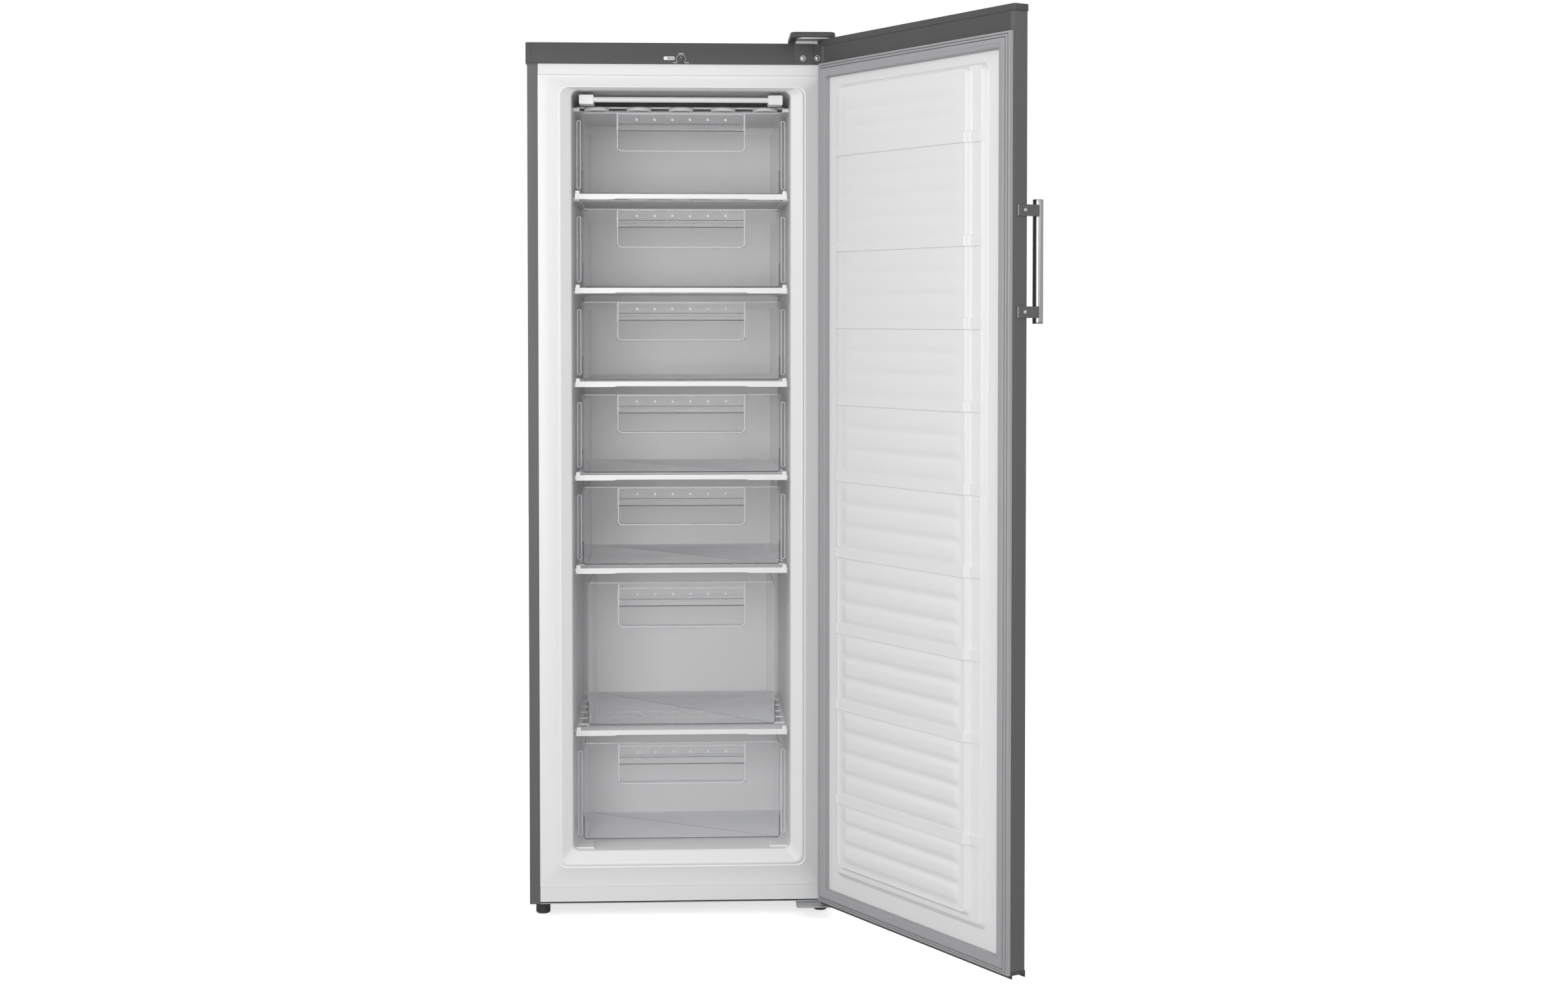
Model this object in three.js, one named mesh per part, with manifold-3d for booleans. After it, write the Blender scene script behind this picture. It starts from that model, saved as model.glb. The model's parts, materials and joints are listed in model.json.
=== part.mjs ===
// An upright freezer: a foamed steel cabinet with a moulded liner, seven clear drawers on
// cooling shelves of bent tube, and a ribbed door that swings on a right-hand hinge.
// Millimetres, Z up, the front faces -Y. Every place is worked out from the floor (z = 0),
// the cabinet's middle (x = 0) and its front flange (y = 0); the whole is moved at the end.
import * as THREE from "three";
import { mergeVertices } from "three/addons/utils/BufferGeometryUtils.js";
import Module from "manifold-3d";

const wasm = await Module();
wasm.setup();

// ---- Driving dimensions -------------------------------------------------------------

const fit = 0.3; // gap left between pieces that touch

// cabinet
const cabinetWidth = 595;
const cabinetDepth = 555; // front flange to back panel
const cabinetHeight = 1703.5; // floor to the top of the cover
const floorGap = 25; // floor to the underside of the base plate
const sheet = 1.2; // steel sheet of the shell, the panels and the door
const frontFlange = 20; // dark return of the shell beside the liner
const crossbarDepth = 24;
const crossbarSheet = 1.6;
const upperCrossbarHeight = 22;
const lowerCrossbarTop = 58;
const crossbarLift = 4; // lower crossbar stands this far above the underside

// top cover, dial and indicator
const coverHeight = 40;
const coverOverhang = 3; // past the cabinet's sides
const coverFront = 4; // ahead of the front flange
const coverWall = 2.5;
const coverCornerRadius = 6;
const hingeReliefWidth = 43; // the front face is set back beside the hinge
const hingeReliefDepth = 1.2;
const controlSpaceDepth = 75; // free space behind the cover's front
const dialDiameter = 18.3;
const dialThickness = 3;
const dialSlot = 3.2;
const dialDrop = 31.4; // cover's top to the dial's centre
const shaftDiameter = 6;
const shaftProud = 1; // ahead of the thermostat's body
const windowWidth = 21;
const windowHeight = 6.8;
const windowRecess = 1;
const windowOffset = 23; // dial's centre to the window's centre
const thermostatWidth = 46;
const thermostatDepth = 42;
const thermostatHeight = 26;

// inner liner
const linerWall = 2;
const sideInsulation = 84.5; // cabinet's side to the opening
const topInsulation = 90.5; // cover's top to the opening
const linerFloor = 127.5;
const openingRadius = 14;
const linerDepth = 490; // front flange to the liner's back wall
const frameWidth = 25.5; // raised frame round the opening, at the sides
const frameTopWidth = 5;
const frameBottomWidth = 27.5;
const frameLand = 6.5; // flat rim of the frame before it slopes inwards
const frameLip = 1.5; // the rim stands this proud
const frameSlopeDepth = 10;
const frameRadius = 16;
const humpFront = 335; // the step over the compressor
const humpTop = 345;
const bayInsulation = 42; // foam between the step and the compressor bay
const ledgeReach = 13; // side ledges that carry the shelves
const ledgeHeight = 8;
const ledgeEnd = 20; // back wall to the ledges' ends
const floorStepHeight = 4; // the floor rises along both sides, under the last drawer
const floorStepWidth = 41;
const floorStepFront = 22;

// shelves
const shelfHeadroom = 10.2; // opening's top to the first trim
const topCell = 189.3; // first trim to the second
const drawerCell = 183.4; // pitch of the next four
const bottomCell = 232.5; // last trim above the liner's floor
const topShelfDrop = 12.8; // the first cooling tube hangs below its trim
const tubeDiameter = 8;
const tubeRuns = 10;
const tubeSides = 5;
const bendSteps = 3;
const tubeSideGap = 21; // outermost run to the liner's wall
const tubeRearGap = 12;
const carrierSize = 4; // square wires that tie the runs
const carrierBite = 2; // sunk this far into the tube
const carrierEndGap = 6;
const carrierCount = 2;
const trimFront = 30;
const trimDepth = 45;
const trimHeight = 11;
const trimSheet = 2.5;
const trimRearLip = 6;
const trimNotch = 5; // clearance for the grip under a trim
const lugWidth = 15.2;
const lugDepth = 14;
const lugRise = 6;
const topRodDiameter = 10.3;
const topClipWidth = 27;
const topClipHeight = 16;

// drawers
const drawerFront = 77;
const drawerWall = 2.4;
const drawerSideGap = 16; // liner's wall to the rim
const deepDrawerSideGap = 25;
const drawerRearGap = 22;
const humpGap = 15; // last drawer to the step behind it
const rimGap = 16; // trim's underside to the rim below it
const deepRimGap = 22.5;
const rimLip = 1;
const frontReturn = 14; // the high front runs this far back along the sides
const rimHeight = 5;
const drawerCornerRadius = 12;
const gripHalfWidth = 125;
const gripThickness = 3;
const sideDrop = 12; // sides and back stand this much lower than the front
const gripDrop = 28; // below the rim, to the ledge
const ledgeThickness = 9; // the finger ledge under the grip
const gripReach = 11; // ledge ahead of the drawer's front
const pocketDepth = 22;
const pocketBottom = 75; // below the rim
const pocketRadius = 8;

// door
const doorOpenAngle = 120; // as it stands at rest
const closedGap = 12.6; // door's inner face to the front flange when shut
const doorThickness = 31;
const doorBottom = 27.5;
const doorRise = 4.5; // door's top past the cabinet's
const doorCapHeight = 12;
const doorCapProud = 1;
const doorHeader = 46.5; // dark band inside the door's top
const doorReturn = 10; // sheet turned in over the liner's edge
const doorCornerRadius = 4;
const doorLinerWall = 1.5;
const channelWall = 2.5;
const channelHeight = 6; // open channel under the door
const pinInset = 9; // hinge pin to the door's side
const pinDepth = 16; // hinge pin to the door's inner face
const plugSideInset = 68; // door's side to the plug's foot
const plugTopGap = 3; // opening's frame to the plug, at the top
const plugBottomGap = 5;
const plugDraft = 8.5;
const terraceProud = 11;
const terraceWidth = 26;
const terraceTopWidth = 2;
const plugBottomDraft = 13; // the lower wall leans more
const terraceBottomWidth = 8;
const fieldProud = 21;
const plugRadius = 16;
const ribHeight = 20;
const ribProud = 3;
const ribCount = 9;
const ribPitch = 145.3;
const ribEndPitch = 181; // the first and the last rib stand further off
const ribTopDrop = 128; // plug's top to the highest rib

// gasket
const gasketInset = 2;
const gasketWidth = 28.6;
const gasketBottomRise = 6.5;

// door handle
const barDiameter = 18.6;
const barLength = 215;
const barTop = 1375.7;
const barStandoff = 61; // door's inner face to the bar's axis
const bracketHeight = 20;
const bracketThickness = 3;
const bracketInset = 10; // bar's end to the bracket
const bracketStart = 8; // door's inner face to the bracket's end
const bracketNose = 6; // past the bar's axis

// hinges
const pinDiameter = 7;
const pinClearance = 0.6;
const hingePlate = 3;
const hingePadHeight = 5;
const hingePadWidth = 42;
const hingePadDepth = 64;
const hingeInset = 74; // door's side to the bracket's inner end
const hingeNose = 12; // plate past the pin
const hingeCoverWidth = 89;
const hingeCoverHeight = 12;
const hingeCoverBack = 74;
const hingeCoverRadius = 12;
const lowerPlateDepth = 70;

// compressor bay
const baySheet = 1.5;
const compressorRadius = 74;
const compressorHeight = 185;
const compressorX = 40;
const compressorSeam = 83; // its foot to the weld between pot and lid
const seamProud = 4;
const seamWidth = 8;
const seamChamfer = 3;
const compressorFoot = 3;
const footPlateWidth = 170;
const footPlateDepth = 120;
const bossHeight = 13.2;
const bossDiameter = 22;
const bossInset = 14;
const starterWidth = 46;
const starterDepth = 48;
const starterHeight = 75;
const dryerDiameter = 20;
const dryerLength = 120;
const dryerX = -150;
const suctionDiameter = 8;
const suctionReach = 28;

// condenser on the back
const condenserTube = 6;
const condenserStandoff = 14; // back panel to the tube's axis
const condenserRuns = 14;
const condenserSideInset = 30; // cabinet's side to the riser
const condenserRiserGap = 10;
const condenserReturnInset = 24; // riser to the leg that goes back down
const condenserBend = 14;
const condenserBite = 1; // the bars sink this far into the tube
const condenserTop = 110; // below the cabinet's top
const condenserBottom = 150; // above the bay
const condenserBar = 6;
const condenserBarSheet = 2.5;
const condenserBarSpacing = 320;
const standoffHeight = 14;

// feet and rollers
const footDiameter = 28;
const footHeight = 20;
const footStudDiameter = 10;
const footStudTop = 46;
const footInset = 24; // cabinet's side to the foot's axis
const footSetback = 35;
const footBevel = 4;
const rollerDiameter = 30;
const rollerWidth = 20;
const rollerInset = 42;
const rollerSetback = 35; // back panel to the roller's axle
const axleDiameter = 6;
const earThickness = 3;
const earLength = 26;

// ---- Derived places -----------------------------------------------------------------

const sideX = cabinetWidth / 2;
const flangeX = sideX - frontFlange;
const coverBottom = cabinetHeight - coverHeight;
const shellTop = cabinetHeight - coverWall - fit;
const baseTop = floorGap + baySheet;
const openingX = sideX - sideInsulation;
const openingTop = cabinetHeight - topInsulation;
const bayFront = humpFront + linerWall + bayInsulation;
const bayTop = humpTop - linerWall - bayInsulation;
const doorTop = cabinetHeight + doorRise;
const pinX = sideX - pinInset;
const doorInner = -closedGap;
const doorOuter = doorInner - doorThickness;
const pinY = doorInner - pinDepth;
const tubeRadius = tubeDiameter / 2;
const dialZ = cabinetHeight - dialDrop;

// tops of the seven trims, from the first under the liner's roof to the last
const trimTops = [openingTop - shelfHeadroom];
trimTops.push(trimTops[0] - topCell);
for (let i = 0; i < 4; i++) trimTops.push(trimTops.at(-1) - drawerCell);
trimTops.push(linerFloor + bottomCell);

// ---- Geometry helpers ---------------------------------------------------------------

// A closed geometry as a solid that can be joined and cut.
function solid(geometry) {
  const bare = new THREE.BufferGeometry();
  bare.setAttribute("position", geometry.getAttribute("position"));
  if (geometry.index) bare.setIndex(geometry.index);
  const merged = mergeVertices(bare, 1e-4);
  return new wasm.Manifold(
    new wasm.Mesh({
      numProp: 3,
      vertProperties: new Float32Array(merged.attributes.position.array),
      triVerts: new Uint32Array(merged.index.array),
    }),
  );
}

function geometryOf(body) {
  const mesh = body.getMesh();
  const geometry = new THREE.BufferGeometry();
  const positions = new Float32Array(mesh.numVert * 3);
  for (let i = 0; i < mesh.numVert; i++)
    for (let k = 0; k < 3; k++) positions[3 * i + k] = mesh.vertProperties[mesh.numProp * i + k];
  geometry.setAttribute("position", new THREE.BufferAttribute(positions, 3));
  geometry.setIndex(new THREE.BufferAttribute(new Uint32Array(mesh.triVerts), 1));
  return geometry;
}

const join = (first, ...rest) => rest.reduce((body, next) => body.add(next), first);
const cut = (first, ...rest) => rest.reduce((body, next) => body.subtract(next), first);

// A box between two corners.
function block(x0, x1, y0, y1, z0, z1) {
  const geometry = new THREE.BoxGeometry(x1 - x0, y1 - y0, z1 - z0);
  return solid(geometry.translate((x0 + x1) / 2, (y0 + y1) / 2, (z0 + z1) / 2));
}

// A cylinder from `start` along "x", "y" or "z".
function rod(axis, diameter, length, start, sides = 16) {
  const geometry = new THREE.CylinderGeometry(diameter / 2, diameter / 2, length, sides);
  geometry.translate(0, length / 2, 0);
  if (axis === "x") geometry.rotateZ(-Math.PI / 2);
  if (axis === "z") geometry.rotateX(Math.PI / 2);
  return solid(geometry.translate(...start));
}

// A rectangle whose corners take the radii [low left, low right, high right, high left].
function roundedRectangle(x0, x1, y0, y1, radii, steps = 4) {
  const corners = [
    [x0, y0, 1, 1, Math.PI],
    [x1, y0, -1, 1, Math.PI * 1.5],
    [x1, y1, -1, -1, 0],
    [x0, y1, 1, -1, Math.PI / 2],
  ];
  const points = [];
  corners.forEach(([x, y, dx, dy, from], corner) => {
    const radius = radii[corner];
    if (radius <= 0) {
      points.push(new THREE.Vector2(x, y));
      return;
    }
    for (let i = 0; i <= steps; i++) {
      const angle = from + (Math.PI / 2) * (i / steps);
      points.push(
        new THREE.Vector2(
          x + dx * radius + radius * Math.cos(angle),
          y + dy * radius + radius * Math.sin(angle),
        ),
      );
    }
  });
  return points;
}

const allCorners = (radius) => [radius, radius, radius, radius];

function extrusion(points, depth) {
  return new THREE.ExtrudeGeometry(new THREE.Shape(points), { depth, bevelEnabled: false });
}

// An outline of (x, y) points raised from z0 to z1.
function upright(points, z0, z1) {
  return solid(extrusion(points, z1 - z0).translate(0, 0, z0));
}

// An outline of (x, z) points drawn back from y0 to y1.
function depthwise(points, y0, y1) {
  return solid(extrusion(points, y1 - y0).rotateX(Math.PI / 2).translate(0, y1, 0));
}

// An outline of (y, z) points drawn across from x0 to x1.
function crosswise(points, x0, x1) {
  const geometry = extrusion(points, x1 - x0);
  geometry.rotateX(Math.PI / 2).rotateZ(Math.PI / 2);
  return solid(geometry.translate(x0, 0, 0));
}

// A skin stretched over rings of equal length, closed by flat ends.
function loft(rings) {
  const count = rings[0].length;
  const positions = rings.flat().flatMap((p) => [p.x, p.y, p.z]);
  const index = [];
  for (let r = 0; r + 1 < rings.length; r++)
    for (let i = 0; i < count; i++) {
      const a = r * count + i;
      const b = r * count + ((i + 1) % count);
      index.push(a, b, b + count, a, b + count, a + count);
    }
  const last = (rings.length - 1) * count;
  for (let i = 1; i + 1 < count; i++) {
    index.push(0, i + 1, i);
    index.push(last, last + i, last + i + 1);
  }
  const geometry = new THREE.BufferGeometry();
  geometry.setAttribute("position", new THREE.Float32BufferAttribute(positions, 3));
  geometry.setIndex(index);
  return solid(geometry);
}

// A block with rounded corners that widens or narrows from its front ring to its back ring;
// each ring is { y, x, z0, z1, radius }, with x the half width.
function taperedBlock(front, back) {
  const ring = ({ y, x, z0, z1, radius }) =>
    roundedRectangle(-x, x, z0, z1, allCorners(radius)).map((p) => new THREE.Vector3(p.x, y, p.y));
  return loft([ring(back), ring(front)].map((points) => points.toReversed()).toReversed());
}

// A path through given points whose rings fall exactly on them.
class BentPath extends THREE.Curve {
  constructor(points) {
    super();
    this.points = points;
  }
  getPoint(t) {
    const place = t * (this.points.length - 1);
    const i = Math.min(Math.floor(place), this.points.length - 2);
    return this.points[i].clone().lerp(this.points[i + 1], place - i);
  }
  getPointAt(t) {
    return this.getPoint(t);
  }
  getTangentAt(t) {
    const i = Math.round(t * (this.points.length - 1));
    const before = this.points[Math.max(i - 1, 0)];
    const here = this.points[i];
    const after = this.points[Math.min(i + 1, this.points.length - 1)];
    const tangent = new THREE.Vector3();
    if (i > 0) tangent.add(here.clone().sub(before).normalize());
    if (i < this.points.length - 1) tangent.add(after.clone().sub(here).normalize());
    return tangent.normalize();
  }
}

// A round tube along points.
function tube(points, diameter, sides = tubeSides) {
  const section = Array.from({ length: sides }, (_, i) => {
    const angle = (2 * Math.PI * (i + 0.5)) / sides;
    return new THREE.Vector2(Math.cos(angle), Math.sin(angle)).multiplyScalar(diameter / 2);
  });
  return solid(
    new THREE.ExtrudeGeometry(new THREE.Shape(section), {
      steps: points.length - 1,
      extrudePath: new BentPath(points),
      bevelEnabled: false,
    }),
  );
}

// Corner points replaced by arcs of one radius.
function rounded(corners, radius, steps = bendSteps) {
  const path = [corners[0].clone()];
  for (let i = 1; i + 1 < corners.length; i++) {
    const into = corners[i].clone().sub(corners[i - 1]).normalize();
    const out = corners[i + 1].clone().sub(corners[i]).normalize();
    const centre = corners[i].clone().addScaledVector(into, -radius).addScaledVector(out, radius);
    for (let k = 0; k <= steps; k++) {
      const angle = (Math.PI / 2) * (k / steps);
      path.push(
        centre
          .clone()
          .addScaledVector(out, -radius * Math.cos(angle))
          .addScaledVector(into, radius * Math.sin(angle)),
      );
    }
  }
  path.push(corners.at(-1).clone());
  return path;
}

// Parallel runs joined by half-circle bends, in a plane of two unit directions.
function serpentine(origin, across, along, runs, pitch, length) {
  const points = [];
  const radius = pitch / 2;
  for (let run = 0; run < runs; run++) {
    const away = run % 2 === 0;
    const from = away ? 0 : length;
    const to = away ? length : 0;
    const side = pitch * run;
    if (run === 0) points.push([side, from]);
    for (let k = 0; k <= bendSteps && run + 1 < runs; k++) {
      const angle = (Math.PI * k) / bendSteps;
      const bulge = radius * Math.sin(angle) * (away ? 1 : -1);
      points.push([side + radius * (1 - Math.cos(angle)), to + bulge]);
    }
    if (run + 1 === runs) points.push([side, to]);
  }
  return points.map(([a, b]) =>
    origin.clone().addScaledVector(across, a).addScaledVector(along, b),
  );
}

const vec = (x, y, z) => new THREE.Vector3(x, y, z);
const point = (x, y) => new THREE.Vector2(x, y);

// ---- Finishes -----------------------------------------------------------------------

const finish = (color, roughness, metalness, extra = {}) =>
  new THREE.MeshStandardMaterial({ color, roughness, metalness, ...extra });
const darkSteel = finish(0x5c5c5c, 0.42, 0.5);
const darkPlastic = finish(0x5e5e5e, 0.5, 0);
const whitePlastic = finish(0xe4e5e7, 0.35, 0);
const whiteSteel = finish(0xdedfe1, 0.4, 0.1);
const clearPlastic = finish(0xc9ced2, 0.08, 0, { transparent: true, opacity: 0.45 });
const gasketRubber = finish(0xa6a9ac, 0.6, 0);
const brushedSteel = finish(0xb9b9b9, 0.28, 1);
const zincSteel = finish(0xc4c5c6, 0.4, 0.9);
const blackPlastic = finish(0x2a2a2b, 0.55, 0);
const blackEnamel = finish(0x161617, 0.35, 0.2);
const copper = finish(0xb06a3c, 0.35, 1);
const foamYellow = finish(0xd8cf9e, 0.9, 0);
const rubberBlack = finish(0x333334, 0.8, 0);

const freezer = new THREE.Group();
const cabinet = new THREE.Group();
freezer.add(cabinet);

function piece(parent, name, body, material) {
  const mesh = new THREE.Mesh(geometryOf(body), material);
  mesh.name = name;
  parent.add(mesh);
  return mesh;
}

// ---- Cabinet shell ------------------------------------------------------------------

// Two sides and a roof folded from one sheet, with a dark return along each front edge.
function outerShell() {
  return cut(
    block(-sideX, sideX, 0, cabinetDepth, floorGap, shellTop),
    block(-sideX + sheet, sideX - sheet, sheet, cabinetDepth + 1, floorGap - 1, shellTop - sheet),
    block(-flangeX, flangeX, -1, sheet + 1, floorGap - 1, shellTop + 1),
  );
}

// One bent sheet: the back, the roof of the compressor bay and the bay's front wall.
function backPanel() {
  const outline = [
    point(cabinetDepth, shellTop - sheet - fit),
    point(cabinetDepth - sheet, shellTop - sheet - fit),
    point(cabinetDepth - sheet, bayTop + sheet),
    point(bayFront, bayTop + sheet),
    point(bayFront, baseTop + fit),
    point(bayFront + sheet, baseTop + fit),
    point(bayFront + sheet, bayTop),
    point(cabinetDepth, bayTop),
  ];
  const inside = sideX - sheet - fit;
  return crosswise(outline, -inside, inside);
}

// A front beam folded as a channel that is open to the back.
function crossbar(z0, z1) {
  const outline = [
    point(0, z0),
    point(crossbarDepth, z0),
    point(crossbarDepth, z0 + crossbarSheet),
    point(crossbarSheet, z0 + crossbarSheet),
    point(crossbarSheet, z1 - crossbarSheet),
    point(crossbarDepth, z1 - crossbarSheet),
    point(crossbarDepth, z1),
    point(0, z1),
  ];
  return crosswise(outline, -flangeX + fit, flangeX - fit);
}

const upperBar = [coverBottom - fit - upperCrossbarHeight, coverBottom - fit];
const lowerBar = [floorGap + crossbarLift, lowerCrossbarTop];

// The space inside the liner, grown outwards by `grow`: the drawers' room behind its sloping
// mouth, less the step over the compressor.
function linerSpace(grow) {
  const x = openingX + grow;
  const z0 = linerFloor - grow;
  const z1 = openingTop + grow;
  const room = depthwise(
    roundedRectangle(-x, x, z0, z1, allCorners(openingRadius + grow)),
    grow > 0 ? frameSlopeDepth : -linerWall - frameLip - 1,
    linerDepth + grow,
  );
  const step = block(
    -sideX,
    sideX,
    humpFront + grow,
    cabinetDepth,
    0,
    humpTop - grow,
  );
  const slopeX = openingX + frameWidth - frameLand;
  const mouth = (y, ratio) => ({
    y,
    x: openingX + (slopeX - openingX) * ratio + grow,
    z0: linerFloor - (frameBottomWidth - frameLand) * ratio - grow,
    z1: openingTop + (frameTopWidth - 1) * ratio + grow,
    radius: openingRadius + grow,
  });
  const overshoot = 1 + frameLip / frameSlopeDepth;
  const slope = taperedBlock(
    mouth(-frameLip, overshoot),
    mouth(frameSlopeDepth + grow, 0),
  );
  return join(room.subtract(step), slope);
}

function innerLiner() {
  const flangeInside = flangeX - fit;
  const flange = block(
    -flangeInside,
    flangeInside,
    0,
    linerWall,
    lowerBar[1] + fit,
    upperBar[0] - fit,
  );
  const frameX = openingX + frameWidth;
  const frame = depthwise(
    roundedRectangle(
      -frameX,
      frameX,
      linerFloor - frameBottomWidth,
      openingTop + frameTopWidth,
      allCorners(frameRadius),
    ),
    -frameLip,
    linerWall,
  );
  const behindFlange = block(-sideX, sideX, 0, cabinetDepth, 0, cabinetHeight);
  let body = join(flange, frame, linerSpace(linerWall).intersect(behindFlange));
  body = body.subtract(linerSpace(0));
  const ledgeBack = linerDepth - ledgeEnd;
  shelfTops().forEach((top) => {
    for (const side of [-1, 1]) {
      const xs = [side * (openingX - ledgeReach), side * (openingX + 1)].sort((a, b) => a - b);
      const z1 = top - carrierSize - fit;
      const front = trimFront + trimDepth + fit;
      body = body.add(block(xs[0], xs[1], front, ledgeBack, z1 - ledgeHeight, z1));
    }
  });
  for (const side of [-1, 1]) {
    const xs = [side * (openingX - floorStepWidth), side * (openingX + 1)].sort((a, b) => a - b);
    const top = linerFloor + floorStepHeight;
    const step = block(xs[0], xs[1], floorStepFront, humpFront + 1, linerFloor - 1, top);
    body = body.add(step.intersect(linerSpace(linerWall)));
  }
  return body;
}

// Foam fills what the shell, the liner, the beams and the bay leave free.
function cabinetFoam() {
  const x = sideX - sheet - fit;
  const studHoles = [-1, 1].map((side) =>
    rod("z", footStudDiameter + 4, footStudTop, [side * (sideX - footInset), footSetback, 0]),
  );
  const grownBar = ([z0, z1]) =>
    block(-x - 1, x + 1, -1, crossbarDepth + fit, z0 - fit, z1 + fit);
  return cut(
    block(-x, x, linerWall + fit, cabinetDepth - sheet - fit, baseTop + fit, shellTop - sheet - fit),
    linerSpace(linerWall + fit),
    grownBar(upperBar),
    grownBar([0, lowerBar[1]]),
    block(-x - 1, x + 1, -1, controlSpaceDepth, coverBottom, cabinetHeight),
    block(-x - 1, x + 1, bayFront - fit, cabinetDepth, 0, bayTop + sheet + fit),
    ...studHoles,
  );
}

// A tray over the cabinet's top, with holes for the dial's shaft and the indicator.
function topCover() {
  const x = sideX + coverOverhang;
  const radii = [coverCornerRadius, coverCornerRadius, 0, 0];
  const outer = upright(
    roundedRectangle(-x, x, -coverFront, cabinetDepth, radii),
    coverBottom,
    cabinetHeight,
  );
  const inside = sideX + fit;
  return cut(
    outer,
    block(
      -inside,
      inside,
      -coverFront + coverWall,
      cabinetDepth + 1,
      coverBottom - 1,
      cabinetHeight - coverWall,
    ),
    block(x - hingeReliefWidth, x + 1, -coverFront - 1, -coverFront + hingeReliefDepth,
      coverBottom - 1, cabinetHeight + 1),
    rod("y", shaftDiameter + 2, coverWall + 2, [0, -coverFront - 1, dialZ]),
    indicatorPlate(fit, -coverFront - 1, windowRecess + 1 + fit),
  );
}

function indicatorPlate(grow, front, thickness) {
  const half = windowWidth / 2 + grow;
  const tall = windowHeight / 2 + grow;
  const outline = roundedRectangle(
    -windowOffset - half,
    -windowOffset + half,
    dialZ + 1.6 - tall,
    dialZ + 1.6 + tall,
    allCorners(tall * 0.6),
    3,
  );
  return depthwise(outline, front, front + thickness);
}

// The control box behind the cover's front, with the shaft that the dial turns.
function thermostat() {
  const front = -coverFront + coverWall + fit;
  const box = block(
    -thermostatWidth / 2,
    thermostatWidth / 2,
    front,
    front + thermostatDepth,
    dialZ - thermostatHeight / 2 + 6,
    dialZ + thermostatHeight / 2 + 6,
  );
  return box.add(rod("y", shaftDiameter, 2 * shaftProud, [0, front - shaftProud, dialZ]));
}

// A slotted disc on a short stub; turning it sets the temperature.
function dial() {
  const front = -coverFront - fit - dialThickness;
  const stubEnd = -coverFront + coverWall - shaftProud;
  return cut(
    join(
      rod("y", dialDiameter, dialThickness, [0, front, dialZ], 24),
      rod("y", shaftDiameter, stubEnd - front, [0, front, dialZ]),
    ),
    block(
      -dialSlot / 2,
      dialSlot / 2,
      front - 1,
      front + dialThickness / 2,
      dialZ - dialDiameter / 2 + 2.5,
      dialZ + dialDiameter / 2 - 2.5,
    ),
  );
}

// ---- Shelves ------------------------------------------------------------------------

// Tops of the cooling shelves: level with their trims, but for the first, which hangs lower.
function shelfTops() {
  return trimTops.map((top, i) => (i === 0 ? top - topShelfDrop : top));
}

// One bent tube, tied by square wires whose ends lie on the liner's ledges.
function coolingShelf() {
  const outermost = openingX - tubeSideGap - tubeRadius;
  const pitch = (2 * outermost) / (tubeRuns - 1);
  const front = trimFront + trimDepth + fit + tubeRadius + pitch / 2;
  const back = linerDepth - tubeRearGap - tubeRadius - pitch / 2;
  const centre = -carrierSize + carrierBite - tubeRadius;
  const body = tube(
    serpentine(vec(-outermost, back, centre), vec(1, 0, 0), vec(0, -1, 0), tubeRuns, pitch,
      back - front),
    tubeDiameter,
  );
  const reach = openingX - carrierEndGap;
  const first = front + carrierSize;
  const last = back - carrierSize;
  let shelf = body;
  for (let i = 0; i < carrierCount; i++) {
    const y = first + ((last - first) * i) / (carrierCount - 1);
    shelf = shelf.add(block(-reach, reach, y, y + carrierSize, -carrierSize, 0));
  }
  return shelf;
}

// A folded front bar with a lug at each end; its middle is notched over the drawer's grip.
function shelfTrim() {
  const back = trimFront + trimDepth;
  const outline = [
    point(trimFront, -trimHeight),
    point(trimFront + trimSheet, -trimHeight),
    point(trimFront + trimSheet, -trimSheet),
    point(back - trimSheet, -trimSheet),
    point(back - trimSheet, -trimRearLip),
    point(back, -trimRearLip),
    point(back, 0),
    point(trimFront, 0),
  ];
  const lugEnd = openingX - fit;
  const bar = crosswise(outline, -lugEnd, lugEnd);
  const notchX = gripHalfWidth + 2;
  const notch = depthwise(
    [
      point(-notchX - trimNotch, -trimHeight - 1),
      point(notchX + trimNotch, -trimHeight - 1),
      point(notchX + trimNotch, -trimHeight),
      point(notchX, -trimHeight + trimNotch),
      point(-notchX, -trimHeight + trimNotch),
      point(-notchX - trimNotch, -trimHeight),
    ],
    trimFront - 1,
    trimFront + trimSheet + 1,
  );
  const lugs = [-1, 1].map((side) => {
    const xs = [side * (lugEnd - lugWidth), side * lugEnd].sort((a, b) => a - b);
    return block(xs[0], xs[1], trimFront, trimFront + lugDepth, -trimHeight, lugRise);
  });
  return join(bar.subtract(notch), ...lugs);
}

// The first trim is a plain rod between two clips.
function topTrim() {
  const end = openingX - fit;
  const middle = -trimHeight / 2;
  const axis = trimFront + topRodDiameter / 2 + 1;
  const bar = rod("x", topRodDiameter, 2 * (end - 1), [-end + 1, axis, middle], 12);
  const clips = [-1, 1].map((side) => {
    const xs = [side * (end - topClipWidth), side * end].sort((a, b) => a - b);
    const z0 = middle - topClipHeight / 2;
    const outer = [2, openingRadius];
    const radii = side > 0 ? [2, ...outer, 2] : [2, 2, 2, openingRadius];
    const outline = roundedRectangle(xs[0], xs[1], z0, z0 + topClipHeight, radii, 3);
    return depthwise(outline, trimFront, trimFront + trimDepth);
  });
  return join(bar, ...clips);
}

// ---- Drawers ------------------------------------------------------------------------

// { bottom, rim, half, back } of each drawer, from the top one down.
function drawerSizes() {
  return trimTops.map((top, i) => {
    const deep = i >= 5;
    const last = i === trimTops.length - 1;
    const seat = last ? linerFloor + floorStepHeight : trimTops[i + 1];
    return {
      bottom: seat + fit,
      rim: top - trimHeight - (deep ? deepRimGap : rimGap),
      half: openingX - (i === 5 ? deepDrawerSideGap : drawerSideGap),
      back: (last ? humpFront - humpGap : linerDepth - drawerRearGap),
    };
  });
}

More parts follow.
